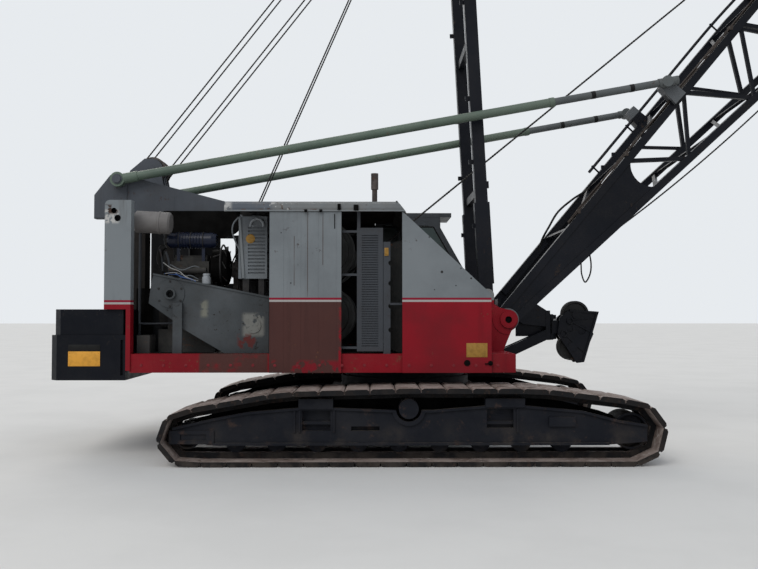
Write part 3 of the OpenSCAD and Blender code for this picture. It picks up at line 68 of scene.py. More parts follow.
# ---------------------------------------------------------------- camera
PHOTO = (758, 569)
FOCAL_PX = 850
CAMERA_AT = at(-0.47, -11.93, 1.78)
PITCH = math.radians(1.85)
YAW = math.radians(-0.54)

camera_data = bpy.data.cameras.new("camera")
camera_data.sensor_width = 36
camera_data.lens = 36 * FOCAL_PX / PHOTO[0]
camera_data.clip_end = 500
camera = bpy.data.objects.new("camera", camera_data)
camera.location = CAMERA_AT
camera.rotation_euler = (math.pi / 2 + PITCH, 0, YAW)
SCENE.collection.objects.link(camera)
SCENE.camera = camera
SCENE.view_settings.view_transform = "Standard"


# ---------------------------------------------------------------- node trees
WALL_INNER_Y = 1.607


class Look:
    """A procedural material whose pattern is fixed in the object's own space."""

    def __init__(self, name, metallic=0.0):
        self.material = bpy.data.materials.new(name)
        self.material.use_nodes = True
        self.tree = self.material.node_tree
        self.shader = self.tree.nodes["Principled BSDF"]
        self.shader.inputs["Metallic"].default_value = metallic
        self.place = self.new("ShaderNodeTexCoord").outputs["Object"]

    def new(self, kind, sockets=None, **settings):
        """Adds a node with its settings, and what each of its sockets takes."""
        made = self.tree.nodes.new(kind)
        for key, value in settings.items():
            setattr(made, key, value)
        for key, value in (sockets or {}).items():
            self.put(made.inputs[key], value)
        return made

    def put(self, socket, value):
        if isinstance(value, bpy.types.NodeSocket):
            self.tree.links.new(value, socket)
        elif isinstance(value, (tuple, list)) and len(value) == 3 and len(socket.default_value) == 4:
            socket.default_value = (*value, 1)
        else:
            socket.default_value = value

    def math(self, operation, a, b=0.0):
        return self.new("ShaderNodeMath", {0: a, 1: b}, operation=operation).outputs[0]

    def times(self, a, b):
        return self.math("MULTIPLY", a, b)

    def plus(self, a, b):
        return self.math("ADD", a, b)

    def noise(self, scale, detail=5.0, rough=0.6, stretch=None, warp=0.0):
        made = self.new("ShaderNodeTexNoise",
                        {"Scale": scale, "Detail": detail, "Roughness": rough, "Distortion": warp})
        place = self.place
        if stretch:
            place = self.new("ShaderNodeMapping", {"Vector": place, "Scale": stretch}).outputs[0]
        self.put(made.inputs["Vector"], place)
        return made.outputs["Fac"]

    def step(self, value, low, high, top=1.0):
        sockets = {"Value": value, "From Min": low, "From Max": high, "To Max": top}
        return self.new("ShaderNodeMapRange", sockets, interpolation_type="SMOOTHSTEP").outputs["Result"]

    def cover(self, noise, low, high, top=1.0):
        """A mask of ragged patches; noise holds the scale, detail and roughness."""
        return self.step(self.noise(*noise), low, high, top)

    def mix(self, factor, a, b):
        return self.new("ShaderNodeMix", {0: factor, 6: a, 7: b}, data_type="RGBA").outputs[2]

    def axis(self, name):
        return self.new("ShaderNodeSeparateXYZ", {0: self.place}).outputs[name]

    def facing(self, name):
        """Which way the surface looks along one axis, from -1 to 1."""
        made = self.new("ShaderNodeSeparateXYZ")
        self.put(made.inputs[0], self.new("ShaderNodeTexCoord").outputs["Normal"])
        return made.outputs[name]

    def band(self, value, low, high, soft=0.01):
        """1 between two values, 0 outside them."""
        return self.times(self.step(value, low - soft, low + soft),
                          self.step(value, high + soft, high - soft))

    def within(self, x=None, y=None, z=None, soft=0.01):
        """1 inside a box given from the slewing axis."""
        masks = [self.band(self.axis(n), low, high, soft) for n, (low, high) in
                 (("X", (x[0] + SLEW, x[1] + SLEW) if x else (0, 0)), ("Y", y or (0, 0)), ("Z", z or (0, 0)))
                 if low != high]
        made = masks[0]
        for mask in masks[1:]:
            made = self.times(made, mask)
        return made

    def outward(self, low, high):
        """0 nearer to the middle plane than low, 1 farther from it than high."""
        return self.step(self.math("ABSOLUTE", self.axis("Y")), low, high)

    def inside_walls(self):
        """1 on faces that look into the house, where painted shade goes."""
        return self.outward(WALL_INNER_Y + 0.002, WALL_INNER_Y - 0.002)

    def finish(self, colour, rough, height, depth, strength, sheen=0.3):
        self.shader.inputs["Specular IOR Level"].default_value = sheen
        self.put(self.shader.inputs["Base Color"], colour)
        self.put(self.shader.inputs["Roughness"], rough)
        bump = self.new("ShaderNodeBump", {"Strength": strength, "Distance": depth, "Height": height})
        self.put(self.shader.inputs["Normal"], bump.outputs[0])
        return self.material


RUST = (0.13, 0.055, 0.03)
DARK_RUST = (0.05, 0.028, 0.02)
DUST = (0.16, 0.135, 0.11)


def weather(look, colour, worn, rust=0.3, streak=0.35, chips=0.3, tone_scale=0.8, rust_colour=RUST):
    """Blotches, run-down streaks, flaked chips and rust over a base paint."""
    base = look.mix(look.cover((tone_scale, 6.0), 0.38, 0.66), colour, worn)
    runs = look.noise(7.0, 6.0, 0.65, stretch=(1, 1, 0.07))
    patch = look.cover((1.1, 3.0), 0.42, 0.62)
    base = look.mix(look.times(look.step(runs, 0.5, 0.72, streak), patch), base, [0.45 * c for c in worn])
    flake = look.times(look.cover((24.0, 6.0, 0.7), 0.60 - 0.06 * chips, 0.62),
                       look.cover((2.2, 4.0), 0.62 - 0.14 * chips, 0.68))
    spots = look.times(look.step(look.noise(9.0, 8.0, 0.7, warp=0.4), 0.62 - 0.10 * rust, 0.68),
                       look.cover((1.7, 4.0), 0.55, 0.62))
    base = look.mix(flake, base, rust_colour)
    return look.mix(spots, base, rust_colour), look.math("MAXIMUM", flake, spots)


def paint(name, colour, worn, rough=0.5, grime=0.0, grime_colour=DUST, sheen=0.3, patches=(), **wear):
    """Weathered paint; patches are masks from the look, each with its own colour."""
    look = Look(name)
    base, bare = weather(look, colour, worn, **wear)
    for mask, tone in patches:
        base = look.mix(mask(look), base, tone)
    if grime:
        dust = look.times(look.cover((3.5, 6.0), 0.35, 0.7, grime), look.cover((30.0, 4.0), 0.2, 0.7))
        base = look.mix(dust, base, grime_colour)
    gloss = look.plus(look.cover((6.0,), 0.3, 0.7, 0.14), rough)
    height = look.math("SUBTRACT", look.noise(45.0, 4.0), look.times(bare, 1.2))
    return look.finish(base, look.plus(gloss, look.times(bare, 0.2)), height, 0.004, 0.35, sheen)


GREY = (0.180, 0.197, 0.207)
GREY_WORN = (0.138, 0.151, 0.160)
BLACK = (0.0045, 0.0055, 0.0085)
# Painted shade: the near-black colour given to faces inside the house
INNER_SHADE = (0.006, 0.006, 0.007)
RED = (0.215, 0.003, 0.010)
RED_WORN = (0.155, 0.005, 0.010)
RED_BROWN = (0.064, 0.0235, 0.020)
WHITE = (0.35, 0.33, 0.315)
STRIPE_RED = (0.22, 0.004, 0.020)
BRACKET_GREY = (0.105, 0.112, 0.118)
# Heights of the painted bands: red, then a white line, a red line and grey
RED_TOP, WHITE_TOP, LINE_LOW, LINE_TOP = 1.902, 1.926, 1.928, 1.953


def two_tone(name, low=RED, low_worn=RED_WORN, low_rust=0.2, rust=0.25, streak=0.4, chips=0.25, inner=None,
             patches=(), drop=0.0):
    """Grey house paint over red, with the white and red lines between them, and painted shade on the inner
    side.
    """
    look = Look(name)
    upper, bare_upper = weather(look, GREY, GREY_WORN, rust=rust, streak=streak, chips=chips,
                                rust_colour=DARK_RUST)
    lower, bare_lower = weather(look, low, low_worn, rust=low_rust, streak=0.3, chips=chips, tone_scale=1.3)
    z = look.plus(look.axis("Z"), drop) if drop else look.axis("Z")
    colour = lower
    for height, tone in ((RED_TOP, WHITE), (WHITE_TOP, upper), (LINE_LOW, STRIPE_RED), (LINE_TOP, upper)):
        colour = look.mix(look.math("GREATER_THAN", z, height), colour, tone)
    # Darker streaks along the walls' tops, just under the eaves
    edge = look.times(look.step(z, 2.80, 3.02),
                      look.step(look.noise(8.0, 6.0, stretch=(1, 1, 0.12)), 0.45, 0.75, 0.7))
    colour = look.mix(edge, colour, (0.06, 0.052, 0.045))
    for mask, tone in patches:
        colour = look.mix(mask(look), colour, tone)
    # Painted shade on the faces that look inside
    colour = look.mix(inner(look) if inner else look.inside_walls(), colour, INNER_SHADE)
    bare = look.math("MAXIMUM", bare_upper, bare_lower)
    gloss = look.plus(look.cover((5.0,), 0.3, 0.7, 0.15), 0.42)
    dents = look.plus(look.times(look.noise(0.9, 2.0), 2.0), look.times(bare, -0.4))
    return look.finish(colour, gloss, dents, 0.02, 0.5, 0.16)


def steel(name, colour, worn, rough=0.5, metallic=0.5, scale=6.0):
    look = Look(name, metallic)
    base = look.mix(look.cover((scale, 8.0, 0.7), 0.35, 0.65), colour, worn)
    base = look.mix(look.cover((scale * 4, 6.0), 0.55, 0.72, 0.8), base, RUST)
    return look.finish(base, look.plus(look.cover((scale * 2,), 0.3, 0.7, 0.25), rough),
                       look.noise(60.0, 6.0), 0.003, 0.4)


def track_material():
    """Shoes rubbed pale on top, nearly black at their ends, with rust and clay between them."""
    look = Look("track_shoes")
    side = look.mix(look.cover((3.0, 8.0, 0.65), 0.42, 0.66), (0.007, 0.007, 0.008), (0.015, 0.012, 0.011))
    side = look.mix(look.cover((9.0, 8.0, 0.7), 0.56, 0.68, 0.8), side, (0.045, 0.029, 0.022))
    side = look.mix(look.times(look.step(look.axis("Z"), 0.35, 0.04, 0.7), look.cover((5.0,), 0.4, 0.6)),
                    side, (0.050, 0.040, 0.033))
    top = look.mix(look.cover((2.4, 8.0, 0.65), 0.36, 0.64), (0.30, 0.245, 0.22), (0.155, 0.115, 0.098))
    top = look.mix(look.cover((14.0, 6.0, 0.7), 0.5, 0.68, 0.75), top, (0.42, 0.37, 0.34))
    top = look.mix(look.cover((5.0, 6.0, 0.7), 0.56, 0.66, 0.8), top, (0.045, 0.032, 0.028))
    ends = look.step(look.math("ABSOLUTE", look.facing("Y")), 0.6, 0.9)
    base = look.mix(ends, top, side)
    return look.finish(base, look.plus(look.cover((9.0,), 0.3, 0.7, 0.3), 0.55),
                       look.noise(22.0, 8.0, 0.7), 0.012, 0.6, 0.16)


def frame_material(name="track_frame", base=(0.006, 0.007, 0.011), lift=(0.013, 0.0135, 0.017)):
    """Blue-black paint under clay, oil and rust, dustier towards the ground."""
    look = Look(name)
    colour = look.mix(look.cover((1.2, 7.0), 0.38, 0.64), base, lift)
    colour = look.mix(look.cover((5.0, 8.0, 0.7), 0.56, 0.70, 0.6), colour, (0.060, 0.036, 0.026))
    dust = look.times(look.cover((2.0, 8.0), 0.46, 0.68), look.step(look.axis("Z"), 0.6, 0.1, 0.45))
    colour = look.mix(dust, colour, (0.12, 0.095, 0.072))
    flat = look.times(look.step(look.facing("Z"), 0.5, 0.9, 0.6), look.cover((4.0, 6.0), 0.35, 0.6))
    colour = look.mix(flat, colour, (0.10, 0.085, 0.07))
    return look.finish(colour, look.plus(look.cover((8.0,), 0.3, 0.7, 0.25), 0.5),
                       look.noise(30.0, 8.0, 0.7), 0.006, 0.5, 0.14)


def plain(name, colour, rough=0.5, metallic=0.0, vary=0.35, scale=12.0, depth=0.002, sheen=0.3):
    """A small part's finish, with some blotches of a darker tone."""
    look = Look(name, metallic)
    base = look.mix(look.cover((scale, 6.0), 0.4, 0.68), colour, [c * (1 - vary) for c in colour])
    return look.finish(base, look.plus(look.cover((scale,), 0.3, 0.7, 0.15), rough),
                       look.noise(scale * 5, 5.0), depth, 0.3, sheen)


# Where the cab's inside is; painted shade goes there
def cab_inner(look):
    return look.within((-0.365, 0.965), (0.865, 1.595), (1.30, 3.16), 0.006)


def far_bracket(look):
    """1 on the stop brackets that stand on the boom's upper chords."""
    foot = JOINT["boom_hoist"]
    tip = JOINT["point_sheaves_spin"]
    d = (tip - foot).normalized()
    u = look.plus(look.times(look.axis("X"), d.x), look.times(look.axis("Z"), d.z))
    v = look.math("SUBTRACT", look.times(look.axis("Z"), d.x), look.times(look.axis("X"), d.z))
    u0, v0 = foot.x * d.x + foot.z * d.z, foot.z * d.x - foot.x * d.z
    mask = look.times(look.step(v, v0 + 0.515, v0 + 0.53), look.step(u, u0 + 5.5, u0 + 5.45))
    return look.times(mask, look.outward(0.60, 0.62))


def run_down(x, low, high):
    """A thin vertical stain that runs down a panel."""
    return (lambda look: look.times(look.within((x - 0.005, x + 0.005), z=(low, high), soft=0.004),
                                    look.step(look.noise(4.0, 5.0, stretch=(1, 1, 0.4)), 0.36, 0.58, 0.75)),
            DARK_RUST)


def area(tone, x=None, y=None, z=None, soft=0.01):
    """One tone on all that lies inside a box given from the slewing axis."""
    return (lambda look: look.within(x, y, z, soft), tone)


def blotch(tone, x, z, scale, low, high, soft=0.03):
    """A patch of another tone with a ragged edge, inside a box in x and z."""
    return (lambda look: look.times(look.within(x, z=z, soft=soft),
                                    look.cover((scale, 6.0), low, high)), tone)


BOOM_WEAR = dict(worn=(0.008, 0.009, 0.013), rough=0.30, rust=0.25, chips=0.3, streak=0.4, grime=0.2,
                 sheen=0.11, rust_colour=(0.026, 0.018, 0.015), grime_colour=(0.030, 0.026, 0.024))
M = {
    "house": two_tone("house_paint"),
    # The cab's inside and its faces that look to the right (-Y) take painted shade
    "cab": two_tone("cab_paint", inner=cab_inner, patches=[
            (lambda look: look.step(look.facing("Y"), -0.5, -0.9, 0.8), (0.022, 0.025, 0.030))]),
    "door_panel": two_tone("door_panel_paint", low=RED_BROWN, low_worn=(0.050, 0.019, 0.017),
        low_rust=0.5, patches=[
            run_down(-1.239, 1.96, 3.0),
            run_down(-1.054, 2.35, 3.0),
            run_down(-1.40, 2.1, 2.7),
            blotch(RED, (-0.862, -0.83), (1.0, 1.90), 5.0, 0.38, 0.5, 0.006),
            blotch((0.17, 0.006, 0.012), (-1.70, -0.83), (1.0, 1.19), 7.0, 0.50, 0.58)]),
    "front_panel": two_tone("front_panel_paint", chips=0.12, rust=0.12, streak=0.25),
    # The front wall's grey, darkened nearly to black as painted shade inside the house
    "shaded_inner_grey": paint("shaded_inner_grey_paint", (0.010, 0.010, 0.011), (0.018, 0.018, 0.018), rust=0.3,
        streak=0.3, grime=0.2, grime_colour=(0.03, 0.027, 0.025), sheen=0.1),
    "grey": paint("grey_paint", GREY, GREY_WORN, rust=0.35, streak=0.5, grime=0.25, rust_colour=DARK_RUST),
    # The bay's panels, darkened as painted shade of the engine bay
    "louvre": paint("bay_panel_paint", (0.052, 0.057, 0.065), (0.038, 0.041, 0.047), rust=0.45, streak=0.5,
        grime=0.3, grime_colour=(0.036, 0.031, 0.027), sheen=0.14, rust_colour=DARK_RUST),
    "roof": paint("roof_paint", (0.138, 0.149, 0.152), (0.080, 0.085, 0.091), rust=0.7, streak=0.4, chips=0.8,
        grime=0.3, rust_colour=DARK_RUST, patches=[
            blotch((0.070, 0.082, 0.098), (-2.30, -1.68), (2.95, 3.15), 2.0, 0.05, 0.2),
            blotch((0.36, 0.36, 0.35), (-2.27, -2.17), (3.0, 3.12), 9.0, 0.42, 0.5),
            blotch((0.33, 0.33, 0.32), (-1.75, -1.45), (3.0, 3.12), 14.0, 0.55, 0.6),
            blotch(DARK_RUST, (-1.80, -1.40), (3.0, 3.12), 17.0, 0.58, 0.63),
            blotch((0.07, 0.045, 0.035), (-2.3, 0.0), (2.99, 3.03), 11.0, 0.5, 0.6, 0.01),
            # Painted shade on the roof's underside inside the walls and on its parts inside the house
            (lambda look: look.times(look.step(look.facing("Z"), -0.1, -0.3), look.inside_walls()), INNER_SHADE),
            area(INNER_SHADE, (-2.26, -0.19), (-1.6, 1.6), (2.95, 3.103))]),
    "gantry": paint("gantry_paint", (0.078, 0.086, 0.100), (0.054, 0.060, 0.070), rust=0.4, streak=0.5,
        chips=0.45, grime=0.2, grime_colour=(0.07, 0.062, 0.054), sheen=0.16, rust_colour=DARK_RUST, patches=[
            # Painted shade on the gantry's parts below the roof, at the house's rear
            area((0.012, 0.013, 0.015), (-3.39, -3.0), z=(1.0, 3.03)),
            area((0.010, 0.008, 0.007), (-3.80, -3.39), z=(1.0, 3.03))]),
    "machinery": paint("machinery_paint", (0.155, 0.173, 0.187), (0.100, 0.110, 0.120), rust=0.5, chips=0.6,
        grime=0.35, grime_colour=(0.07, 0.06, 0.052), rust_colour=DARK_RUST, patches=[
            # Painted shade on the radiator's lower part, down in the bay
            area(INNER_SHADE, z=(1.0, 2.195))]),
    "gear_case": paint("gear_case_paint", (0.047, 0.053, 0.057), (0.034, 0.038, 0.041), rust=0.6, chips=0.6,
        grime=0.3, grime_colour=(0.040, 0.034, 0.029), sheen=0.16, rust_colour=(0.014, 0.011, 0.009),
        patches=[
            blotch((0.072, 0.080, 0.086), (-3.3, -2.1), (1.3, 2.3), 0.9, 0.30, 0.62, 0.12),
            blotch((0.175, 0.175, 0.160), (-2.06, -1.80), (1.48, 1.76), 7.0, 0.40, 0.50),
            blotch((0.17, 0.17, 0.14), (-2.58, -2.50), (1.72, 1.92), 10.0, 0.42, 0.52),
            blotch((0.10, 0.02, 0.018), (-2.12, -1.90), (1.32, 1.50), 8.0, 0.47, 0.55),
            blotch((0.02, 0.016, 0.014), (-2.50, -1.86), (1.52, 1.80), 26.0, 0.60, 0.65, 0.05),
            blotch((0.10, 0.10, 0.095), (-3.2, -1.74), (1.94, 2.26), 3.0, 0.62, 0.7)]),
    "red": paint("bed_red_paint", RED, RED_WORN, rust=0.35, chips=0.5, grime=0.05, streak=0.3, sheen=0.14,
        patches=[
            blotch((0.066, 0.023, 0.020), (-2.55, -1.72), (1.0, 1.30), 5.0, 0.3, 0.5, 0.02),
            (lambda look: look.step(look.axis("Z"), 1.930, 1.940), (0.20, 0.205, 0.205)),
            # Painted shade inside the bed, under the house
            area((0.012, 0.010, 0.010), (-3.38, -0.08), (-1.40, 1.40), (1.15, 1.30), 0.004)]),
    "black": paint("boom_black_paint", BLACK, **BOOM_WEAR),
    "boom": paint("boom_base_paint", BLACK, **BOOM_WEAR, patches=[
            (far_bracket, BRACKET_GREY),
            (lambda look: look.outward(0.775, 0.785), BRACKET_GREY)]),
    "weight": paint("counterweight_paint", (0.0035, 0.0045, 0.0078), (0.008, 0.009, 0.013), rough=0.34,
        rust=0.15, chips=0.35, grime=0.3, grime_colour=(0.018, 0.018, 0.018), sheen=0.10,
        rust_colour=(0.022, 0.018, 0.017)),
    "green": paint("stop_green_paint", (0.105, 0.145, 0.110), (0.075, 0.105, 0.082), rough=0.42, rust=0.25,
        chips=0.35, streak=0.3, grime=0.25, grime_colour=(0.15, 0.16, 0.13), patches=[
            (lambda look: look.step(look.axis("X"), 0.2 + SLEW, 1.9 + SLEW, 0.6), (0.108, 0.137, 0.108))]),
    "rod": paint("stop_rod_paint", (0.092, 0.103, 0.104), (0.062, 0.070, 0.072), rough=0.42, rust=0.4,
        chips=0.3, grime=0.2, grime_colour=(0.1, 0.09, 0.08), rust_colour=DARK_RUST),
    "beige": paint("muffler_paint", (0.180, 0.170, 0.165), (0.120, 0.112, 0.108), rust=0.3, chips=0.2,
        grime=0.3, grime_colour=(0.10, 0.088, 0.078)),
    "engine": paint("engine_iron", (0.045, 0.045, 0.044), (0.018, 0.0175, 0.017), rust=0.7, chips=0.6,
        grime=0.5, grime_colour=(0.085, 0.078, 0.066), sheen=0.15),
    "cleaner": paint("air_cleaner_paint", (0.003, 0.005, 0.016), (0.008, 0.012, 0.028), rough=0.22, rust=0.1,
        chips=0.2, grime=0.2, grime_colour=(0.022, 0.023, 0.028), sheen=0.22),
    "rear_post": two_tone("rear_post_paint", drop=0.030,
        # Painted shade on the post's faces inside the house
        inner=lambda look: look.times(look.inside_walls(), look.within((-3.66, -3.42), z=(1.9, 3.09))),
        patches=[
            blotch((0.42, 0.41, 0.39), (-3.70, -3.53), (2.86, 3.02), 16.0, 0.42, 0.5, 0.02),
            blotch((0.040, 0.022, 0.016), (-3.70, -3.54), (2.97, 3.08), 12.0, 0.44, 0.5, 0.02)]),
    "winch": paint("winch_steel", (0.020, 0.021, 0.021), (0.012, 0.012, 0.012), rust=0.6, chips=0.5,
        grime=0.5, grime_colour=(0.045, 0.040, 0.034), sheen=0.2),
    "drum": paint("drum_steel", (0.095, 0.098, 0.095), (0.045, 0.045, 0.043), rust=0.5, chips=0.5, grime=0.4,
        grime_colour=(0.05, 0.045, 0.04), sheen=0.3),
    "track": track_material(),
    "frame": frame_material(),
    "body": frame_material("carbody_paint", (0.006, 0.007, 0.009), (0.013, 0.013, 0.014)),
    "steel": steel("worn_steel", (0.11, 0.10, 0.095), (0.05, 0.045, 0.042)),
    "rope": plain("wire_rope", (0.022, 0.021, 0.02), 0.5, 0.4),
    "stack": steel("stack_steel", (0.12, 0.10, 0.09), (0.05, 0.042, 0.04), 0.6, 0.2),
    "rubber": plain("black_rubber", (0.005, 0.005, 0.005), 0.5, sheen=0.2),
    "brown_rubber": plain("dusty_cable", (0.040, 0.030, 0.025), 0.7),
    "bolt": plain("bolt_steel", (0.022, 0.021, 0.021), 0.45, 0.2, scale=40.0),
    "red_bolt": plain("painted_bolt_heads", (0.20, 0.012, 0.018), 0.45, scale=40.0),
    "pale": plain("pale_plastic", (0.27, 0.285, 0.30), 0.4),
    "yellow": plain("yellow_plate", (0.31, 0.165, 0.028), 0.5, vary=0.25, scale=20.0),
    "orange": plain("orange_plate", (0.66, 0.31, 0.035), 0.45, vary=0.2, scale=16.0),
    "seat": plain("seat_vinyl", (0.018, 0.018, 0.018), 0.55),
    # Near-black for sooty parts, and painted shade in the track frames
    "soot_and_shade": plain("soot_and_shade_black", (0.0045, 0.0042, 0.0040), 0.8, vary=0.5, scale=5.0, sheen=0.06),
    "dark_pane": plain("dark_side_pane", (0.030, 0.048, 0.046), 0.08, vary=0.5, scale=2.0, depth=0.0),
    "wire_blue": plain("blue_wire", (0.04, 0.09, 0.25), 0.4),
    "wire_white": plain("white_wire", (0.33, 0.33, 0.32), 0.4),
}


def glass():
    look = Look("cab_glass_tint")
    dust = look.cover((3.0, 6.0), 0.35, 0.7, 0.5)
    look.shader.inputs["Transmission Weight"].default_value = 0.55
    look.shader.inputs["Alpha"].default_value = 0.62
    look.put(look.shader.inputs["Base Color"], look.mix(dust, (0.10, 0.16, 0.14), (0.25, 0.26, 0.23)))
    look.put(look.shader.inputs["Roughness"], look.plus(dust, 0.05))
    return look.material


M["glass"] = glass()

NODE_LOOK = {
    "carbody": "body", "side_frame_right": "frame", "side_frame_left": "frame",
    "track_right": "track", "track_left": "track", "wheels_right": "frame", "wheels_left": "frame",
    "turntable_ring": "body", "deck": "red", "counterweight_lower": "weight", "counterweight_upper": "weight",
    "gantry": "gantry", "roof": "roof", "right_rear_post": "rear_post", "right_door_panel": "door_panel",
    "right_front_panel": "front_panel", "left_wall": "house", "left_rear_post": "house",
    "front_wall": "shaded_inner_grey", "engine": "engine", "air_cleaner": "cleaner", "muffler": "beige",
    "radiator": "machinery", "gear_case": "gear_case", "bay_louvre": "louvre", "exhaust_stack": "stack",
    "drum_stand": "winch", "lower_drum": "drum", "upper_drum": "drum", "cab_shell": "cab", "cab_door": "cab",
    "door_glass": "glass", "cab_glass": "glass", "cab_seat": "seat", "fairlead_arms": "black",
    "fairlead_head": "black", "fairlead_upper_sheave": "winch", "fairlead_lower_sheave": "winch",
    "gantry_sheaves": "steel", "boom_base": "boom", "boom_tip": "black", "point_sheaves": "steel",
    "mast": "black", "mast_sheaves": "steel", "stop_tube_right": "green", "stop_tube_left": "green",
    "stop_rod_right": "rod", "stop_rod_left": "rod", "pendants": "rope",
}
for name, node in frame["nodes"].items():
    node.data.materials.clear()
    node.data.materials.append(M[NODE_LOOK[name]])


# ---------------------------------------------------------------- shapes
TURN = 2 * math.pi
ROPE_LAY = 0.22


def frame_along(direction):
    """Two unit vectors across a direction."""
    side = direction.cross(Vector((0, 0, 1)))
    if side.length < 1e-3:
        side = direction.cross(Vector((0, 1, 0)))
    side.normalize()
    return side, side.cross(direction).normalized()


def on_circle(u, v, angle):
    return math.cos(angle) * u + math.sin(angle) * v


def smooth_path(points, steps=6):
    """A Catmull-Rom curve through the points."""
    pts = [Vector(p) for p in points]
    pts = [2 * pts[0] - pts[1]] + pts + [2 * pts[-1] - pts[-2]]
    out = []
    for a, b, c, d in zip(pts, pts[1:], pts[2:], pts[3:]):
        for k in range(steps):
            t = k / steps
            out.append(0.5 * ((2 * b) + (c - a) * t + (2 * a - 5 * b + 4 * c - d) * t * t
                              + (3 * b - a - 3 * c + d) * t ** 3))
    out.append(pts[-2])
    return out


class Shape:
    """Collects solids into one mesh."""

    def __init__(self):
        self.bm = bmesh.new()

    def box(self, low, high):
        low, high = Vector(low), Vector(high)
        made = bmesh.ops.create_cube(self.bm, size=1)
        where = Matrix.Translation((low + high) / 2) @ Matrix.Diagonal((*(high - low), 1))
        bmesh.ops.transform(self.bm, verts=made["verts"], matrix=where)
        return self

    def rod(self, a, b, r, sides=12, r2=None):
        a, b = Vector(a), Vector(b)
        d = b - a
        made = bmesh.ops.create_cone(self.bm, cap_ends=True, segments=sides, radius1=r,
                                     radius2=r if r2 is None else r2, depth=d.length)
        turn = d.to_track_quat("Z", "Y").to_matrix().to_4x4()
        bmesh.ops.transform(self.bm, verts=made["verts"], matrix=Matrix.Translation((a + b) / 2) @ turn)
        return self

    def bolt(self, centre, normal, r=0.016, h=0.012):
        """A hexagon head on its washer."""
        centre, normal = Vector(centre), Vector(normal).normalized()
        self.rod(centre - normal * 0.004, centre + normal * 0.003, r * 1.45, 12)
        self.rod(centre, centre + normal * h, r, 6)
        return self

    def ring(self, centre, normal, r, thick, sides=32):
        centre, normal = Vector(centre), Vector(normal).normalized()
        u, v = frame_along(normal)
        path = [centre + r * on_circle(u, v, TURN * k / sides) for k in range(sides)]
        return self.sweep(path, thick, closed=True)

    def sweep(self, path, r, sides=8, closed=False, lobes=0):
        """A tube along the path; lobes twist round it as a rope's strands do."""
        path = [Vector(p) for p in path]
        n = len(path)
        rows = []
        run = 0.0
        side = None
        for i, p in enumerate(path):
            before = path[i - 1] if i or closed else p
            after = path[(i + 1) % n] if i + 1 < n or closed else p
            d = (after - before).normalized()
            if side is None:
                side, up = frame_along(d)
            side = (side - d * side.dot(d)).normalized()
            up = side.cross(d).normalized()
            if i:
                run += (p - path[i - 1]).length
            row = []
            for k in range(sides):
                a = TURN * k / sides
                size = r * (1 + 0.14 * math.cos(lobes * a)) if lobes else r
                a += TURN * run / ROPE_LAY if lobes else 0
                row.append(self.bm.verts.new(p + size * on_circle(side, up, a)))
            rows.append(row)
        pairs = list(zip(rows, rows[1:] + rows[:1])) if closed else list(zip(rows, rows[1:]))
        for one, two in pairs:
            for k in range(sides):
                self.bm.faces.new((one[k], one[(k + 1) % sides], two[(k + 1) % sides], two[k]))
        if not closed:
            self.bm.faces.new(rows[0][::-1])
            self.bm.faces.new(rows[-1])
        return self

    def outline(self, points, depth):
        """A plate from a flat outline, thickened along the vector depth."""
        depth = Vector(depth)
        front = [self.bm.verts.new(Vector(p)) for p in points]
        back = [self.bm.verts.new(Vector(p) + depth) for p in points]
        n = len(front)
        self.bm.faces.new(front)
        self.bm.faces.new(back[::-1])
        for k in range(n):
            self.bm.faces.new((front[k], back[k], back[(k + 1) % n], front[(k + 1) % n]))
        return self

    def turned(self, base, axis, profile, sides=24):
        """A solid of revolution: the profile's rows are distance along the axis and radius."""
        base, axis = Vector(base), Vector(axis).normalized()
        u, v = frame_along(axis)
        rows = [[self.bm.verts.new(base + axis * h + r * on_circle(u, v, TURN * k / sides))
                 for k in range(sides)] for h, r in profile]
        for one, two in zip(rows, rows[1:]):
            for k in range(sides):
                self.bm.faces.new((one[k], one[(k + 1) % sides], two[(k + 1) % sides], two[k]))
        self.bm.faces.new(rows[0][::-1])
        self.bm.faces.new(rows[-1])
        return self


def piece(name, shape, look, body, bevel=0, smooth=35):
    """Turns a shape into an object that rides on a body."""
    bmesh.ops.recalc_face_normals(shape.bm, faces=shape.bm.faces)
    mesh = bpy.data.meshes.new(name)
    shape.bm.to_mesh(mesh)
    shape.bm.free()
    made = bpy.data.objects.new(name, mesh)
    SCENE.collection.objects.link(made)
    if bevel:
        rounding = made.modifiers.new("rounding", "BEVEL")
        rounding.width = bevel
        rounding.segments = 2
        rounding.limit_method = "ANGLE"
        rounding.angle_limit = math.radians(40)
        bpy.context.view_layer.update()
        result = bpy.data.meshes.new_from_object(made.evaluated_get(bpy.context.evaluated_depsgraph_get()))
        made.modifiers.clear()
        made.data = result
    made.data.polygons.foreach_set("use_smooth", [True] * len(made.data.polygons))
    made.data.set_sharp_from_angle(angle=math.radians(smooth))
    made.data.materials.clear()
    made.data.materials.append(M[look])
    if body:
        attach(made, body)
    return made


# ---------------------------------------------------------------- ropes
ROPE_R = 0.013
ROPE_STEP = 0.04


def rope(name, a, b, body=None, between=None, sag=0.0, r=ROPE_R):
    """A laid wire rope from a to b, on one body or between two."""
    a, b = Vector(a), Vector(b)
    count = max(8, int((b - a).length / ROPE_STEP))
    path = [a.lerp(b, k / count) - Vector((0, 0, sag * 4 * (k / count) * (1 - k / count)))
            for k in range(count + 1)]
    shape = Shape().sweep(path, r, sides=12, lobes=6)
    made = piece(name, shape, "rope", body, smooth=60)
    if between:
        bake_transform(made)
    return made


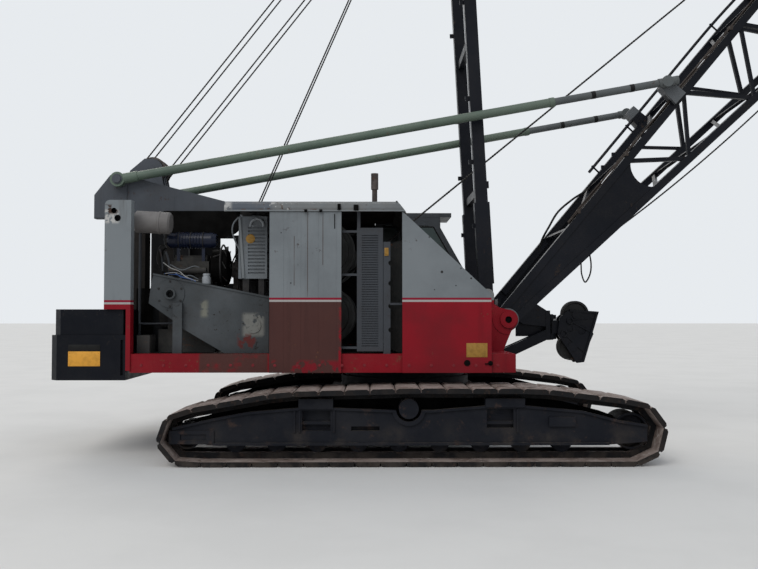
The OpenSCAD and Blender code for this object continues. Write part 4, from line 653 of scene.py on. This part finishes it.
def tangent_points(c1, r1, c2, r2, y, sign):
    """Where a straight rope touches two wheels about Y, both on the same side."""
    d = Vector((c2.x - c1.x, c2.z - c1.z))
    along = math.atan2(d.y, d.x)
    off = math.acos((r1 - r2) / d.length) * sign
    n = Vector((math.cos(along + off), math.sin(along + off)))
    return (Vector((c1.x + r1 * n.x, y, c1.z + r1 * n.y)), Vector((c2.x + r2 * n.x, y, c2.z + r2 * n.y)))


GANTRY_AXLE = JOINT["gantry_sheaves_spin"]
MAST_HEAD = JOINT["mast_sheaves_spin"]
BOOM_POINT = JOINT["point_sheaves_spin"]
LOWER_DRUM = JOINT["lower_drum_spin"]
UPPER_DRUM = JOINT["upper_drum_spin"]
GROOVE_R = 0.170
POINT_GROOVE_R = 0.285
BARREL_R = 0.200
THIN_ROPE_R = 0.010
HOIST_ROPE_Y = 0.125
MAST_ROPE_Y = 0.087
GUIDE_POST_Y = 0.17

for tag, y in (("right", -HOIST_ROPE_Y), ("left", HOIST_ROPE_Y)):
    for run, sign in (("upper", 1), ("lower", -1)):
        p, q = tangent_points(GANTRY_AXLE, GROOVE_R, MAST_HEAD, GROOVE_R, y, sign)
        rope(f"boom_hoist_rope_{tag}_{run}", p, q, between=("upper", "mast"), r=THIN_ROPE_R)
# The two parts that come up through the roof to the mast head, from a pair of guide sheaves
GUIDE = at(-2.335, 0, 2.36)
GUIDE_R = 0.105
shape = Shape()
for tag, y in (("right", -MAST_ROPE_Y), ("left", MAST_ROPE_Y)):
    p, q = tangent_points(GUIDE, GUIDE_R, MAST_HEAD, GROOVE_R, y, 1)
    rope(f"mast_rope_{tag}", p, q, between=("upper", "mast"), r=THIN_ROPE_R)
    low, drum = GUIDE + Vector((0, y, -GUIDE_R)), UPPER_DRUM + Vector((0, y, -BARREL_R - 0.01))
    rope(f"drum_rope_{tag}", low, drum, body="upper", r=THIN_ROPE_R)
    shape.turned(GUIDE + Vector((0, y - 0.03, 0)), (0, 1, 0),
                 [(0, 0.03), (0.001, 0.12), (0.03, GUIDE_R - 0.01), (0.059, 0.12), (0.06, 0.03)], 28)
for y in (-GUIDE_POST_Y, GUIDE_POST_Y):
    shape.box(at(-2.37, y - 0.02, 1.27), at(-2.30, y + 0.02, 2.42))
shape.rod(at(-2.335, -0.2, 2.36), at(-2.335, 0.2, 2.36), 0.022)
piece("rope_guide", shape, "steel", "upper", bevel=0.002)
p, q = tangent_points(LOWER_DRUM, BARREL_R + 0.08, BOOM_POINT, POINT_GROOVE_R, 0.0, 1)
rope("hoist_rope", p, q, between=("upper", "boom"))

# ---------------------------------------------------------------- boom dressing
BOOM_FOOT = JOINT["boom_hoist"]
BOOM_ANGLE = math.atan2(BOOM_POINT.z - BOOM_FOOT.z, BOOM_POINT.x - BOOM_FOOT.x)
ALONG = Vector((math.cos(BOOM_ANGLE), 0, math.sin(BOOM_ANGLE)))
OVER = Vector((-math.sin(BOOM_ANGLE), 0, math.cos(BOOM_ANGLE)))


def boom(u, y, v):
    """A place given along the boom, across it and over its axis."""
    return BOOM_FOOT + ALONG * u + Vector((0, y, 0)) + OVER * v


# Where the chords reach their full distance, where the sections meet, and the chords' places
FULL_U = 5.7
JOINT_U = 6.3
CHORD_Y = 0.70
CHORD_V = 0.475


def chord_v(u, upper=True):
    root = 0.115 if upper else 0.07
    v = root + (CHORD_V - root) * min(u / FULL_U, 1)
    return v if upper else -v


shape = Shape()
pipe_lift = 0.16
pipe = [boom(u, CHORD_Y, chord_v(u) + pipe_lift) for u in (2.6, 3.4, 4.2, 5.4, 6.2)]
shape.sweep(smooth_path(pipe, 4), 0.022, 10)
for u in (2.7, 3.5, 4.4, 5.5):
    shape.rod(boom(u, CHORD_Y, chord_v(u) + 0.04), boom(u, CHORD_Y, chord_v(u) + pipe_lift + 0.03), 0.014, 8)
    shape.ring(boom(u, CHORD_Y, chord_v(u) + pipe_lift), ALONG, 0.028, 0.007, 16)
piece("boom_service_pipe", shape, "black", "boom")

shape = Shape()
for k, (y, lift, r) in enumerate(((-0.672, 0.072, 0.013), (-0.705, 0.078, 0.010), (-0.735, 0.070, 0.008))):
    run = [boom(u, y + 0.012 * math.sin(u * 2.3 + k), chord_v(u) + lift + 0.012 * math.sin(u * 3.1 + 2 * k))
           for u in (1.5, 1.9, 2.3, 2.8, 3.3, 3.9, 4.5, 5.1, 5.7, 6.15)]
    shape.sweep(smooth_path(run, 5), r, 8)
for u in (1.7, 2.7, 3.8, 4.9, 5.9):
    shape.box(boom(u, -0.705, chord_v(u) + 0.066) - Vector((0.018, 0.055, 0.03)),
              boom(u, -0.705, chord_v(u) + 0.066) + Vector((0.018, 0.055, 0.03)))
piece("boom_chord_cables", shape, "brown_rubber", "boom")

HOSES = (
    (0.016, 10, [at(*p) for p in (
        (2.02, 0.66, 2.69), (2.07, 0.62, 2.86), (2.16, 0.60, 3.03), (2.30, 0.60, 3.26), (2.52, 0.60, 3.45),
        (2.75, 0.62, 3.60), (2.97, 0.67, 3.80))]),
    (0.012, 8, [boom(u, y, chord_v(u) + lift) for u, y, lift in (
        (2.6, -0.60, 0.02), (3.0, -0.58, 0.08), (3.5, -0.60, 0.06), (4.1, -0.62, 0.08), (4.9, -0.63, 0.06),
        (5.8, -0.66, 0.04))]),
    (0.011, 8, [at(*p) for p in (
        (2.50, 0.66, 2.72), (2.54, 0.48, 2.62), (2.56, 0.31, 2.50), (2.57, 0.30, 2.33), (2.62, 0.30, 2.21),
        (2.69, 0.30, 2.32), (2.71, 0.31, 2.48), (2.72, 0.48, 2.70), (2.73, 0.66, 2.90))]),
)
shape = Shape()
for r, sides, run in HOSES:
    shape.sweep(smooth_path(run, 8), r, sides)
piece("boom_hoses", shape, "rubber", "boom")

shape = Shape()
for side in (-1, 1):
    for u in (2.8, 3.05, 4.4):
        base = boom(u, side * CHORD_Y, chord_v(u) + 0.045)
        shape.box(base - Vector((0.03, 0.02, 0.02)), base + Vector((0.03, 0.02, 0.03)))
    for v in (-1, 1):
        for k in (-1, 1):
            c = boom(JOINT_U, side * (CHORD_Y + k * 0.05), v * CHORD_V)
            shape.rod(c - ALONG * 0.085, c + ALONG * 0.085, 0.016, 8)
            shape.rod(c - ALONG * 0.100, c - ALONG * 0.080, 0.026, 6)
            shape.rod(c + ALONG * 0.080, c + ALONG * 0.100, 0.026, 6)
piece("boom_lugs_and_bolts", shape, "black", "boom", bevel=0.002)

# The hoist rope's end hangs slack under the boom, from the point sheave to a chain near the foot
CHAIN_END = at(2.88, 0, 2.865)
rope("slack_rope", CHAIN_END, BOOM_POINT + Vector((0.817, 0, -0.576)) * POINT_GROOVE_R, body="boom",
     sag=0.60, r=0.011)
shape = Shape()
chain_top = boom(2.3, 0.0, chord_v(2.3, False) - 0.02)
step = (CHAIN_END - chain_top) / 6
for k in range(6):
    c = chain_top + step * (k + 0.5)
    shape.ring(c, Vector((0, 1, 0)) if k % 2 else Vector((0.5, 0, 0.9)), 0.030, 0.009, 14)
socket_along = Vector((0.77, 0, 0.64))
shape.rod(CHAIN_END - socket_along * 0.02, CHAIN_END + socket_along * 0.16, 0.019, 12, r2=0.013)
piece("rope_socket_chain", shape, "steel", "boom")

# Bands round the stops' rods, thin enough to slide into the tubes
ROD_FOOT = at(-3.755, 0, 3.50)
ROD_ALONG = (JOINT_AXIS["stop_rod_right_slide"]).normalized()
for tag, y in (("right", -0.9), ("left", 0.9)):
    shape = Shape()
    for x in (2.44, 2.95):
        c = ROD_FOOT + ROD_ALONG * ((x + 3.755) / ROD_ALONG.x) + Vector((0, y, 0))
        shape.rod(c - ROD_ALONG * 0.028, c + ROD_ALONG * 0.028, 0.0512, 32)
    piece(f"stop_rod_bands_{tag}", shape, "rubber", f"stop_rod_{tag}")

# Dark plates inside the track frames, painted shade that hides the floor behind the tracks
TRACK_INNER_Y = 1.70
LOOP = ((2.70, 0.20), (2.76, 0.42), (2.265, 0.60), (1.828, 0.71), (1.33, 0.79), (0.774, 0.83))
shape = Shape()
for y in (-TRACK_INNER_Y, TRACK_INNER_Y):
    shape.outline([at(-x, y, z) for x, z in LOOP] + [at(x, y, z) for x, z in LOOP[::-1]], (0, 0.008, 0))
piece("track_frame_shade_plates", shape, "soot_and_shade", "crawler")

# ---------------------------------------------------------------- house dressing
WALL_OUT = 1.6403
WALL_Y = -WALL_OUT
EAVES_Y = -1.661
RAIL_OUT = 1.655
BEAM_OUT = 1.6
BED_BOLTS = 17
BED_BOLT_Z = 1.135
# Lower edge of the torn lining, as x and z
LINING_EDGE = ((-3.14, 2.80), (-3.00, 2.78), (-2.85, 2.77), (-2.70, 2.78), (-2.60, 2.76), (-2.52, 2.75),
               (-2.45, 2.75), (-2.39, 2.745), (-2.33, 2.78), (-2.26, 2.79), (-2.18, 2.86))


def plate_with_rivets(name, look, low, high):
    """A thin blank plate on a side face, with four rivets and a rolled edge."""
    shape = Shape().box(low, high)
    y = low[1]
    for x in (low[0] + 0.018, high[0] - 0.018):
        for z in (low[2] + 0.018, high[2] - 0.018):
            shape.rod((x, y + 0.002, z), (x, y - 0.004, z), 0.006, 10)
    return piece(name, shape, look, "upper", bevel=0.0015)


plate_with_rivets("caution_plate_blank", "yellow", at(0.684, WALL_Y - 0.004, 1.233),
                  at(0.939, WALL_Y + 0.001, 1.403))
plate_with_rivets("weight_plate_blank", "orange", at(-4.130, -1.604, 1.124), at(-3.745, -1.5995, 1.303))
plate_with_rivets("weight_plate_dark_half", "rubber", at(-4.130, -1.604, 1.305), at(-3.745, -1.5995, 1.385))
piece("radiator_tag_blank", Shape().rod(at(-1.99, -1.219, 2.702), at(-1.99, -1.224, 2.702), 0.058, 28),
      "yellow", "upper", bevel=0.0015)
plate_with_rivets("louvre_tag_blank", "yellow", at(-0.305, -1.542, 2.467), at(-0.255, -1.5370, 2.566))

# Bolts along the bed's side beams and the walls' lower edges
shape = Shape()
for side in (-1, 1):
    for k in range(BED_BOLTS):
        x = -3.25 + k * 0.27
        # Where a panel covers the beam, the bolts stand on the panel
        panel = -1.72 < x < -0.8 or -0.11 < x < 1.0 or side > 0 and -1.7 <= x < -0.4
        shape.bolt(at(x, side * (WALL_OUT if panel else BEAM_OUT), BED_BOLT_Z), (0, side, 0), 0.013, 0.009)
piece("bed_bolts", shape, "red_bolt", "upper")

# Drip rail along the eaves
shape = Shape()
for side, end in ((-1, -0.06), (1, -0.44)):
    shape.box(at(-2.24, side * RAIL_OUT - 0.006, 3.001), at(end, side * RAIL_OUT + 0.006, 3.016))
piece("house_trim", shape, "grey", "upper", bevel=0.002)

# Handle slot, locks and latch of the right panels
shape = Shape()
shape.box(at(-0.916, WALL_Y - 0.005, 2.79), at(-0.905, WALL_Y - 0.001, 2.97))
shape.rod(at(0.693, WALL_Y + 0.002, 1.163), at(0.693, WALL_Y - 0.008, 1.163), 0.038, 18)
shape.rod(at(0.975, WALL_Y + 0.002, 1.160), at(0.975, WALL_Y - 0.012, 1.160), 0.030, 14)
shape.box(at(0.905, WALL_Y - 0.020, 1.146), at(0.978, WALL_Y - 0.008, 1.160))
# Hangers of the sliding doors, on the eaves
for x, w, low, high in ((-1.260, 0.018, 2.988, 3.022), (-1.078, 0.018, 2.988, 3.022),
                        (-0.856, 0.020, 3.015, 3.090), (-0.651, 0.030, 3.010, 3.080)):
    shape.box(at(x - w, EAVES_Y - 0.012, low), at(x + w, EAVES_Y + 0.002, high))
    shape.rod(at(x, EAVES_Y - 0.002, low + 0.012), at(x, EAVES_Y - 0.026, low + 0.012), 0.014, 16)
piece("panel_latches", shape, "soot_and_shade", "upper", bevel=0.002)

# Chips knocked out of the front panel's paint, and the bearing cover's bolts on the gear case
COVER_X, COVER_Z, COVER_R = -2.964, 2.004, 0.155
shape = Shape()
for x, z, r in ((0.390, 2.266, 0.017), (0.745, 2.188, 0.012), (0.2365, 2.688, 0.009), (0.622, 2.31, 0.009),
                (0.36, 2.596, 0.008), (0.30, 2.05, 0.007), (0.56, 2.10, 0.008), (-1.56, 2.74, 0.008),
                (-1.44, 2.13, 0.009)):
    shape.rod(at(x, WALL_Y + 0.001, z), at(x, WALL_Y - 0.001, z), r, 7)
for a in (25, 90, 155, 213, 270, 327):
    a = math.radians(a)
    shape.bolt(at(COVER_X + COVER_R * math.cos(a), -1.3605, COVER_Z + COVER_R * math.sin(a)), (0, -1, 0),
               0.010, 0.008)
piece("chips_and_cover_bolts", shape, "bolt", "upper")

# Dark ends of the boom foot pins, and the seal between the cab and the house
FOOT_PIN_OUT, FOOT_PIN_R = 0.864, 0.043
shape = Shape()
for side in (-1, 1):
    c = BOOM_FOOT + Vector((0, side * FOOT_PIN_OUT, 0))
    shape.rod(c, c + Vector((0, side * 0.003, 0)), FOOT_PIN_R, 28)
piece("foot_pin_ends", shape, "soot_and_shade", "upper")
shape = Shape().box(at(-0.447, 1.50, 1.32), at(-0.394, 1.585, 3.0))
shape.box(at(-0.447, 0.86, 3.0), at(-0.394, 1.60, 3.085))
piece("cab_gap_seal", shape, "rubber", "upper")

# Sooty lining that hangs in rags from the girder over the engine
LINING_Y = -0.832
edge = []
for (x0, z0), (x1, z1) in zip(LINING_EDGE, LINING_EDGE[1:]):
    for k in range(4):
        t = k / 4
        edge.append((x0 + (x1 - x0) * t, z0 + (z1 - z0) * t + random.uniform(-0.014, 0.014)))
top = [at(LINING_EDGE[-1][0], LINING_Y, 3.10), at(LINING_EDGE[0][0], LINING_Y, 3.10)]
shape = Shape()
shape.outline([at(x, LINING_Y, z) for x, z in edge] + top, (0, 0.010, 0))
piece("torn_lining", shape, "soot_and_shade", "upper")

# ---------------------------------------------------------------- engine bay dressing
FAN_Y, FAN_Z = -0.79, 2.38
GUARD_R = 0.275
CRANK_Z = 1.83
shape = Shape()
shape.turned(at(-2.53, -1.275, 2.128), (0, 0, 1),
             [(0, 0.048), (0.006, 0.053), (0.085, 0.053), (0.10, 0.040), (0.104, 0.040), (0.106, 0.045),
              (0.128, 0.045), (0.132, 0.040)], 28)
piece("white_jar", shape, "pale", "upper")


def hose_piece(name, runs, look="rubber"):
    shape = Shape()
    for r, points in runs:
        shape.sweep(smooth_path([at(*p) for p in points], 7), r, 10)
    return piece(name, shape, look, "upper")


hose_piece("coolant_hose", [
    (0.042, [(-3.10, -1.06, 2.62), (-3.15, -1.06, 2.58), (-3.18, -1.00, 2.44), (-3.12, -0.98, 2.32),
             (-3.02, -1.0, 2.28)]),
])
hose_piece("fuel_lines", [
    (0.007, [(-3.02, -1.12, 2.38), (-2.86, -1.16, 2.31), (-2.70, -1.14, 2.36), (-2.56, -1.12, 2.28)]),
    (0.007, [(-3.05, -1.12, 2.24), (-2.90, -1.17, 2.20), (-2.76, -1.16, 2.24), (-2.60, -1.15, 2.16)]),
    (0.010, [(-2.157, -1.12, 2.985), (-2.222, -1.12, 2.90), (-2.235, -1.12, 2.80), (-2.205, -1.12, 2.70),
             (-2.165, -1.13, 2.616), (-2.13, -1.15, 2.56)]),
], look="machinery")
# Throttle levers behind the gear case, and the rail and conduit at the bay's rear
hose_piece("bay_pipes", [
    (0.010, [(-3.16, -1.10, 2.58), (-3.13, -1.10, 2.45), (-3.12, -1.10, 2.30)]),
    (0.014, [(-3.08, -1.12, 2.55), (-3.04, -1.12, 2.42), (-3.03, -1.12, 2.28)]),
    (0.018, [(-3.435, -1.0, 1.31), (-3.435, -1.0, 2.1), (-3.435, -1.0, 2.98)]),
    (0.012, [(-3.39, -1.18, 1.76), (-3.39, -1.18, 1.66), (-3.36, -1.18, 1.635), (-3.1, -1.18, 1.635),
             (-2.96, -1.18, 1.64)]),
], look="louvre")
shape = Shape().box(at(-3.50, -0.92, 1.302), at(-3.29, -0.912, 2.085))
shape.box(at(-3.392, -0.925, 1.302), at(-3.330, -0.905, 3.0))
piece("rear_splash_sheet", shape, "soot_and_shade", "upper")
piece("fan_shroud", Shape().turned(at(-2.53, FAN_Y, 2.365), (1, 0, 0),
                                   [(0, 0.12), (0.001, 0.225), (0.17, 0.235), (0.20, 0.215), (0.212, 0.17),
                                    (0.214, 0.06)], 48), "soot_and_shade", "upper")
hose_piece("blue_wires", [
    (0.005, [(-3.06, -1.26, 2.26), (-2.94, -1.24, 2.27), (-2.84, -1.27, 2.21), (-2.74, -1.25, 2.20),
             (-2.66, -1.28, 2.16)]),
    (0.005, [(-3.00, -1.29, 2.25), (-2.90, -1.25, 2.245), (-2.80, -1.30, 2.21), (-2.70, -1.28, 2.175)]),
], look="wire_blue")
hose_piece("white_wires", [
    (0.005, [(-3.08, -1.24, 2.40), (-2.98, -1.25, 2.33), (-2.88, -1.23, 2.29), (-2.76, -1.29, 2.20),
             (-2.64, -1.25, 2.17)]),
    (0.004, [(-3.04, -1.30, 2.26), (-2.92, -1.29, 2.27), (-2.82, -1.24, 2.24), (-2.72, -1.31, 2.19)]),
], look="wire_white")

# Belts, clamps of the air cleaner and the fan's guard
HALF_TURN = [math.pi * j / 10 for j in range(11)]
shape = Shape()
for x in (-2.49, -2.475):
    shape.sweep([at(x, FAN_Y + 0.118 * math.cos(t), FAN_Z + 0.118 * math.sin(t)) for t in HALF_TURN]
                + [at(x, FAN_Y - 0.103 * math.cos(t), CRANK_Z - 0.103 * math.sin(t)) for t in HALF_TURN],
                0.007, 6, closed=True)
piece("fan_belts", shape, "rubber", "upper")

shape = Shape()
for x in (-2.93, -2.78, -2.62):
    shape.ring(at(x, -0.99, 2.70), (1, 0, 0), 0.107, 0.006, 40)
shape.ring(at(-2.40, FAN_Y, FAN_Z), (1, 0, 0), GUARD_R, 0.012, 48)
for a in (30, 150, 270):
    t = math.radians(a)
    shape.rod(at(-2.40, FAN_Y + GUARD_R * math.cos(t), FAN_Z + GUARD_R * math.sin(t)),
              at(-2.54, FAN_Y + 0.19 * math.cos(t), FAN_Z + 0.19 * math.sin(t)), 0.009, 8)
piece("engine_clamps_and_fan_guard", shape, "bolt", "upper")

RADIATOR_FACE_Y = -1.236
shape = Shape()
shape.sweep([at(-1.906 + 0.082 * math.cos(t), RADIATOR_FACE_Y, 2.870 + 0.082 * math.sin(t)) for t in
             [math.radians(-12 + 12 * k) for k in range(18)]], 0.016, 10)
shape.rod(at(-1.965, -1.218, 2.862), at(-1.965, -1.232, 2.862), 0.016, 14)
piece("radiator_handle", shape, "pale", "upper")
shape = Shape()
for top_x, low_x, depth in ((-2.112, -2.058, 0.012), (-2.140, -2.092, 0.060)):
    shape.outline([at(x, RADIATOR_FACE_Y, z) for x, z in
                   ((-2.146, 2.975), (top_x, 2.975), (low_x, 2.206), (-2.098, 2.206))], (0, depth, 0))
piece("radiator_edge_channel", shape, "grey", "upper", bevel=0.001)

# ---------------------------------------------------------------- cab and fairlead dressing
# An opaque pane over the cab's side window; its dark colour is tinted glass and painted shade of the cab's
# inside
CAB_SIDE_Y = 0.8385
PANE = ((-0.29, 3.06), (0.47, 3.06), (0.70, 2.655), (0.85, 2.37), (-0.29, 2.37))
shape = Shape().outline([at(x, CAB_SIDE_Y, z) for x, z in PANE], (0, -0.003, 0))
piece("cab_side_pane", shape, "dark_pane", "upper")
shape = Shape()
for (x0, z0), (x1, z1) in zip(PANE, PANE[1:] + PANE[:1]):
    shape.rod(at(x0, CAB_SIDE_Y - 0.004, z0), at(x1, CAB_SIDE_Y - 0.004, z1), 0.010, 8)
piece("cab_pane_seal", shape, "rubber", "upper")

# Pin ends, cover discs and stiffeners welded on the fairlead's cheeks
shape = Shape()
cheek = -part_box("fairlead_head")[0][1] - 0.022
for side in (-1, 1):
    def on_cheek(x, z, out):
        return at(x, side * (cheek + out), z)
    for x, z, r in ((2.295, 1.545, 0.0445), (2.460, 1.530, 0.0615)):
        shape.rod(on_cheek(x, z, -0.018), on_cheek(x, z, -0.006), r, 28)
    for x, z in ((2.300, 1.655), (2.214, 1.477)):
        shape.ring(on_cheek(x, z, 0.008), (0, 1, 0), 0.040, 0.012, 28)
    for (x0, z0), (x1, z1) in (((2.33, 1.640), (2.62, 1.480)), ((2.24, 1.455), (2.50, 1.210)),
                               ((2.62, 1.480), (2.50, 1.210)), ((2.33, 1.67), (2.66, 1.70))):
        d = Vector((z0 - z1, 0, x1 - x0)).normalized() * 0.007
        a, b = on_cheek(x0, z0, 0), on_cheek(x1, z1, 0)
        shape.outline([a - d, a + d, b + d, b - d], (0, side * 0.014, 0))
for low, high in ((1.463, 1.478), (1.662, 1.677)):
    shape.rod(at(2.06, 0, low), at(2.06, 0, high), 0.074, 28)
piece("fairlead_stiffeners", shape, "black", "fairlead_head", bevel=0.001)
piece("fairlead_arm_web", Shape().box(at(1.56, -0.012, 1.44), at(1.975, 0.012, 1.70)), "black", "upper",
      bevel=0.001)

# ---------------------------------------------------------------- stage
FLOOR_HALF = 120.0
shape = Shape()
shape.bm.faces.new([shape.bm.verts.new(Vector((x * FLOOR_HALF, y * FLOOR_HALF, 0)))
                    for x, y in ((-1, -1), (1, -1), (1, 1), (-1, 1))])
M["floor"] = plain("pale_floor", (0.62, 0.61, 0.59), 0.9, vary=0.04, scale=0.6, depth=0.0)
floor = piece("floor", shape, "floor", None)

world = bpy.data.worlds.new("sky")
SCENE.world = world
world.use_nodes = True
tree = world.node_tree
tree.nodes.clear()
rays = tree.nodes.new("ShaderNodeLightPath")
lit = tree.nodes.new("ShaderNodeBackground")
lit.inputs["Color"].default_value = (0.86, 0.92, 1.0, 1)
lit.inputs["Strength"].default_value = 0.72
seen = tree.nodes.new("ShaderNodeBackground")
seen.inputs["Color"].default_value = (0.80, 0.83, 0.86, 1)
seen.inputs["Strength"].default_value = 1.0
either = tree.nodes.new("ShaderNodeMixShader")
result = tree.nodes.new("ShaderNodeOutputWorld")
some = tree.nodes.new("ShaderNodeMath")
some.operation = "MAXIMUM"
for source, target in ((rays.outputs["Is Camera Ray"], some.inputs[0]),
                       (rays.outputs["Is Glossy Ray"], some.inputs[1]),
                       (some.outputs[0], either.inputs[0]), (lit.outputs[0], either.inputs[1]),
                       (seen.outputs[0], either.inputs[2]), (either.outputs[0], result.inputs[0])):
    tree.links.new(source, target)


def sun(name, energy, turn, spread, colour):
    data = bpy.data.lights.new(name, "SUN")
    data.energy = energy
    data.angle = math.radians(spread)
    data.color = colour
    lamp = bpy.data.objects.new(name, data)
    lamp.rotation_euler = [math.radians(t) for t in turn]
    SCENE.collection.objects.link(lamp)


sun("sky_key", 1.1, (48, 0, -28), 35, (1.0, 0.98, 0.95))
sun("back_light", 0.9, (-52, 0, 25), 40, (1.0, 0.93, 0.84))
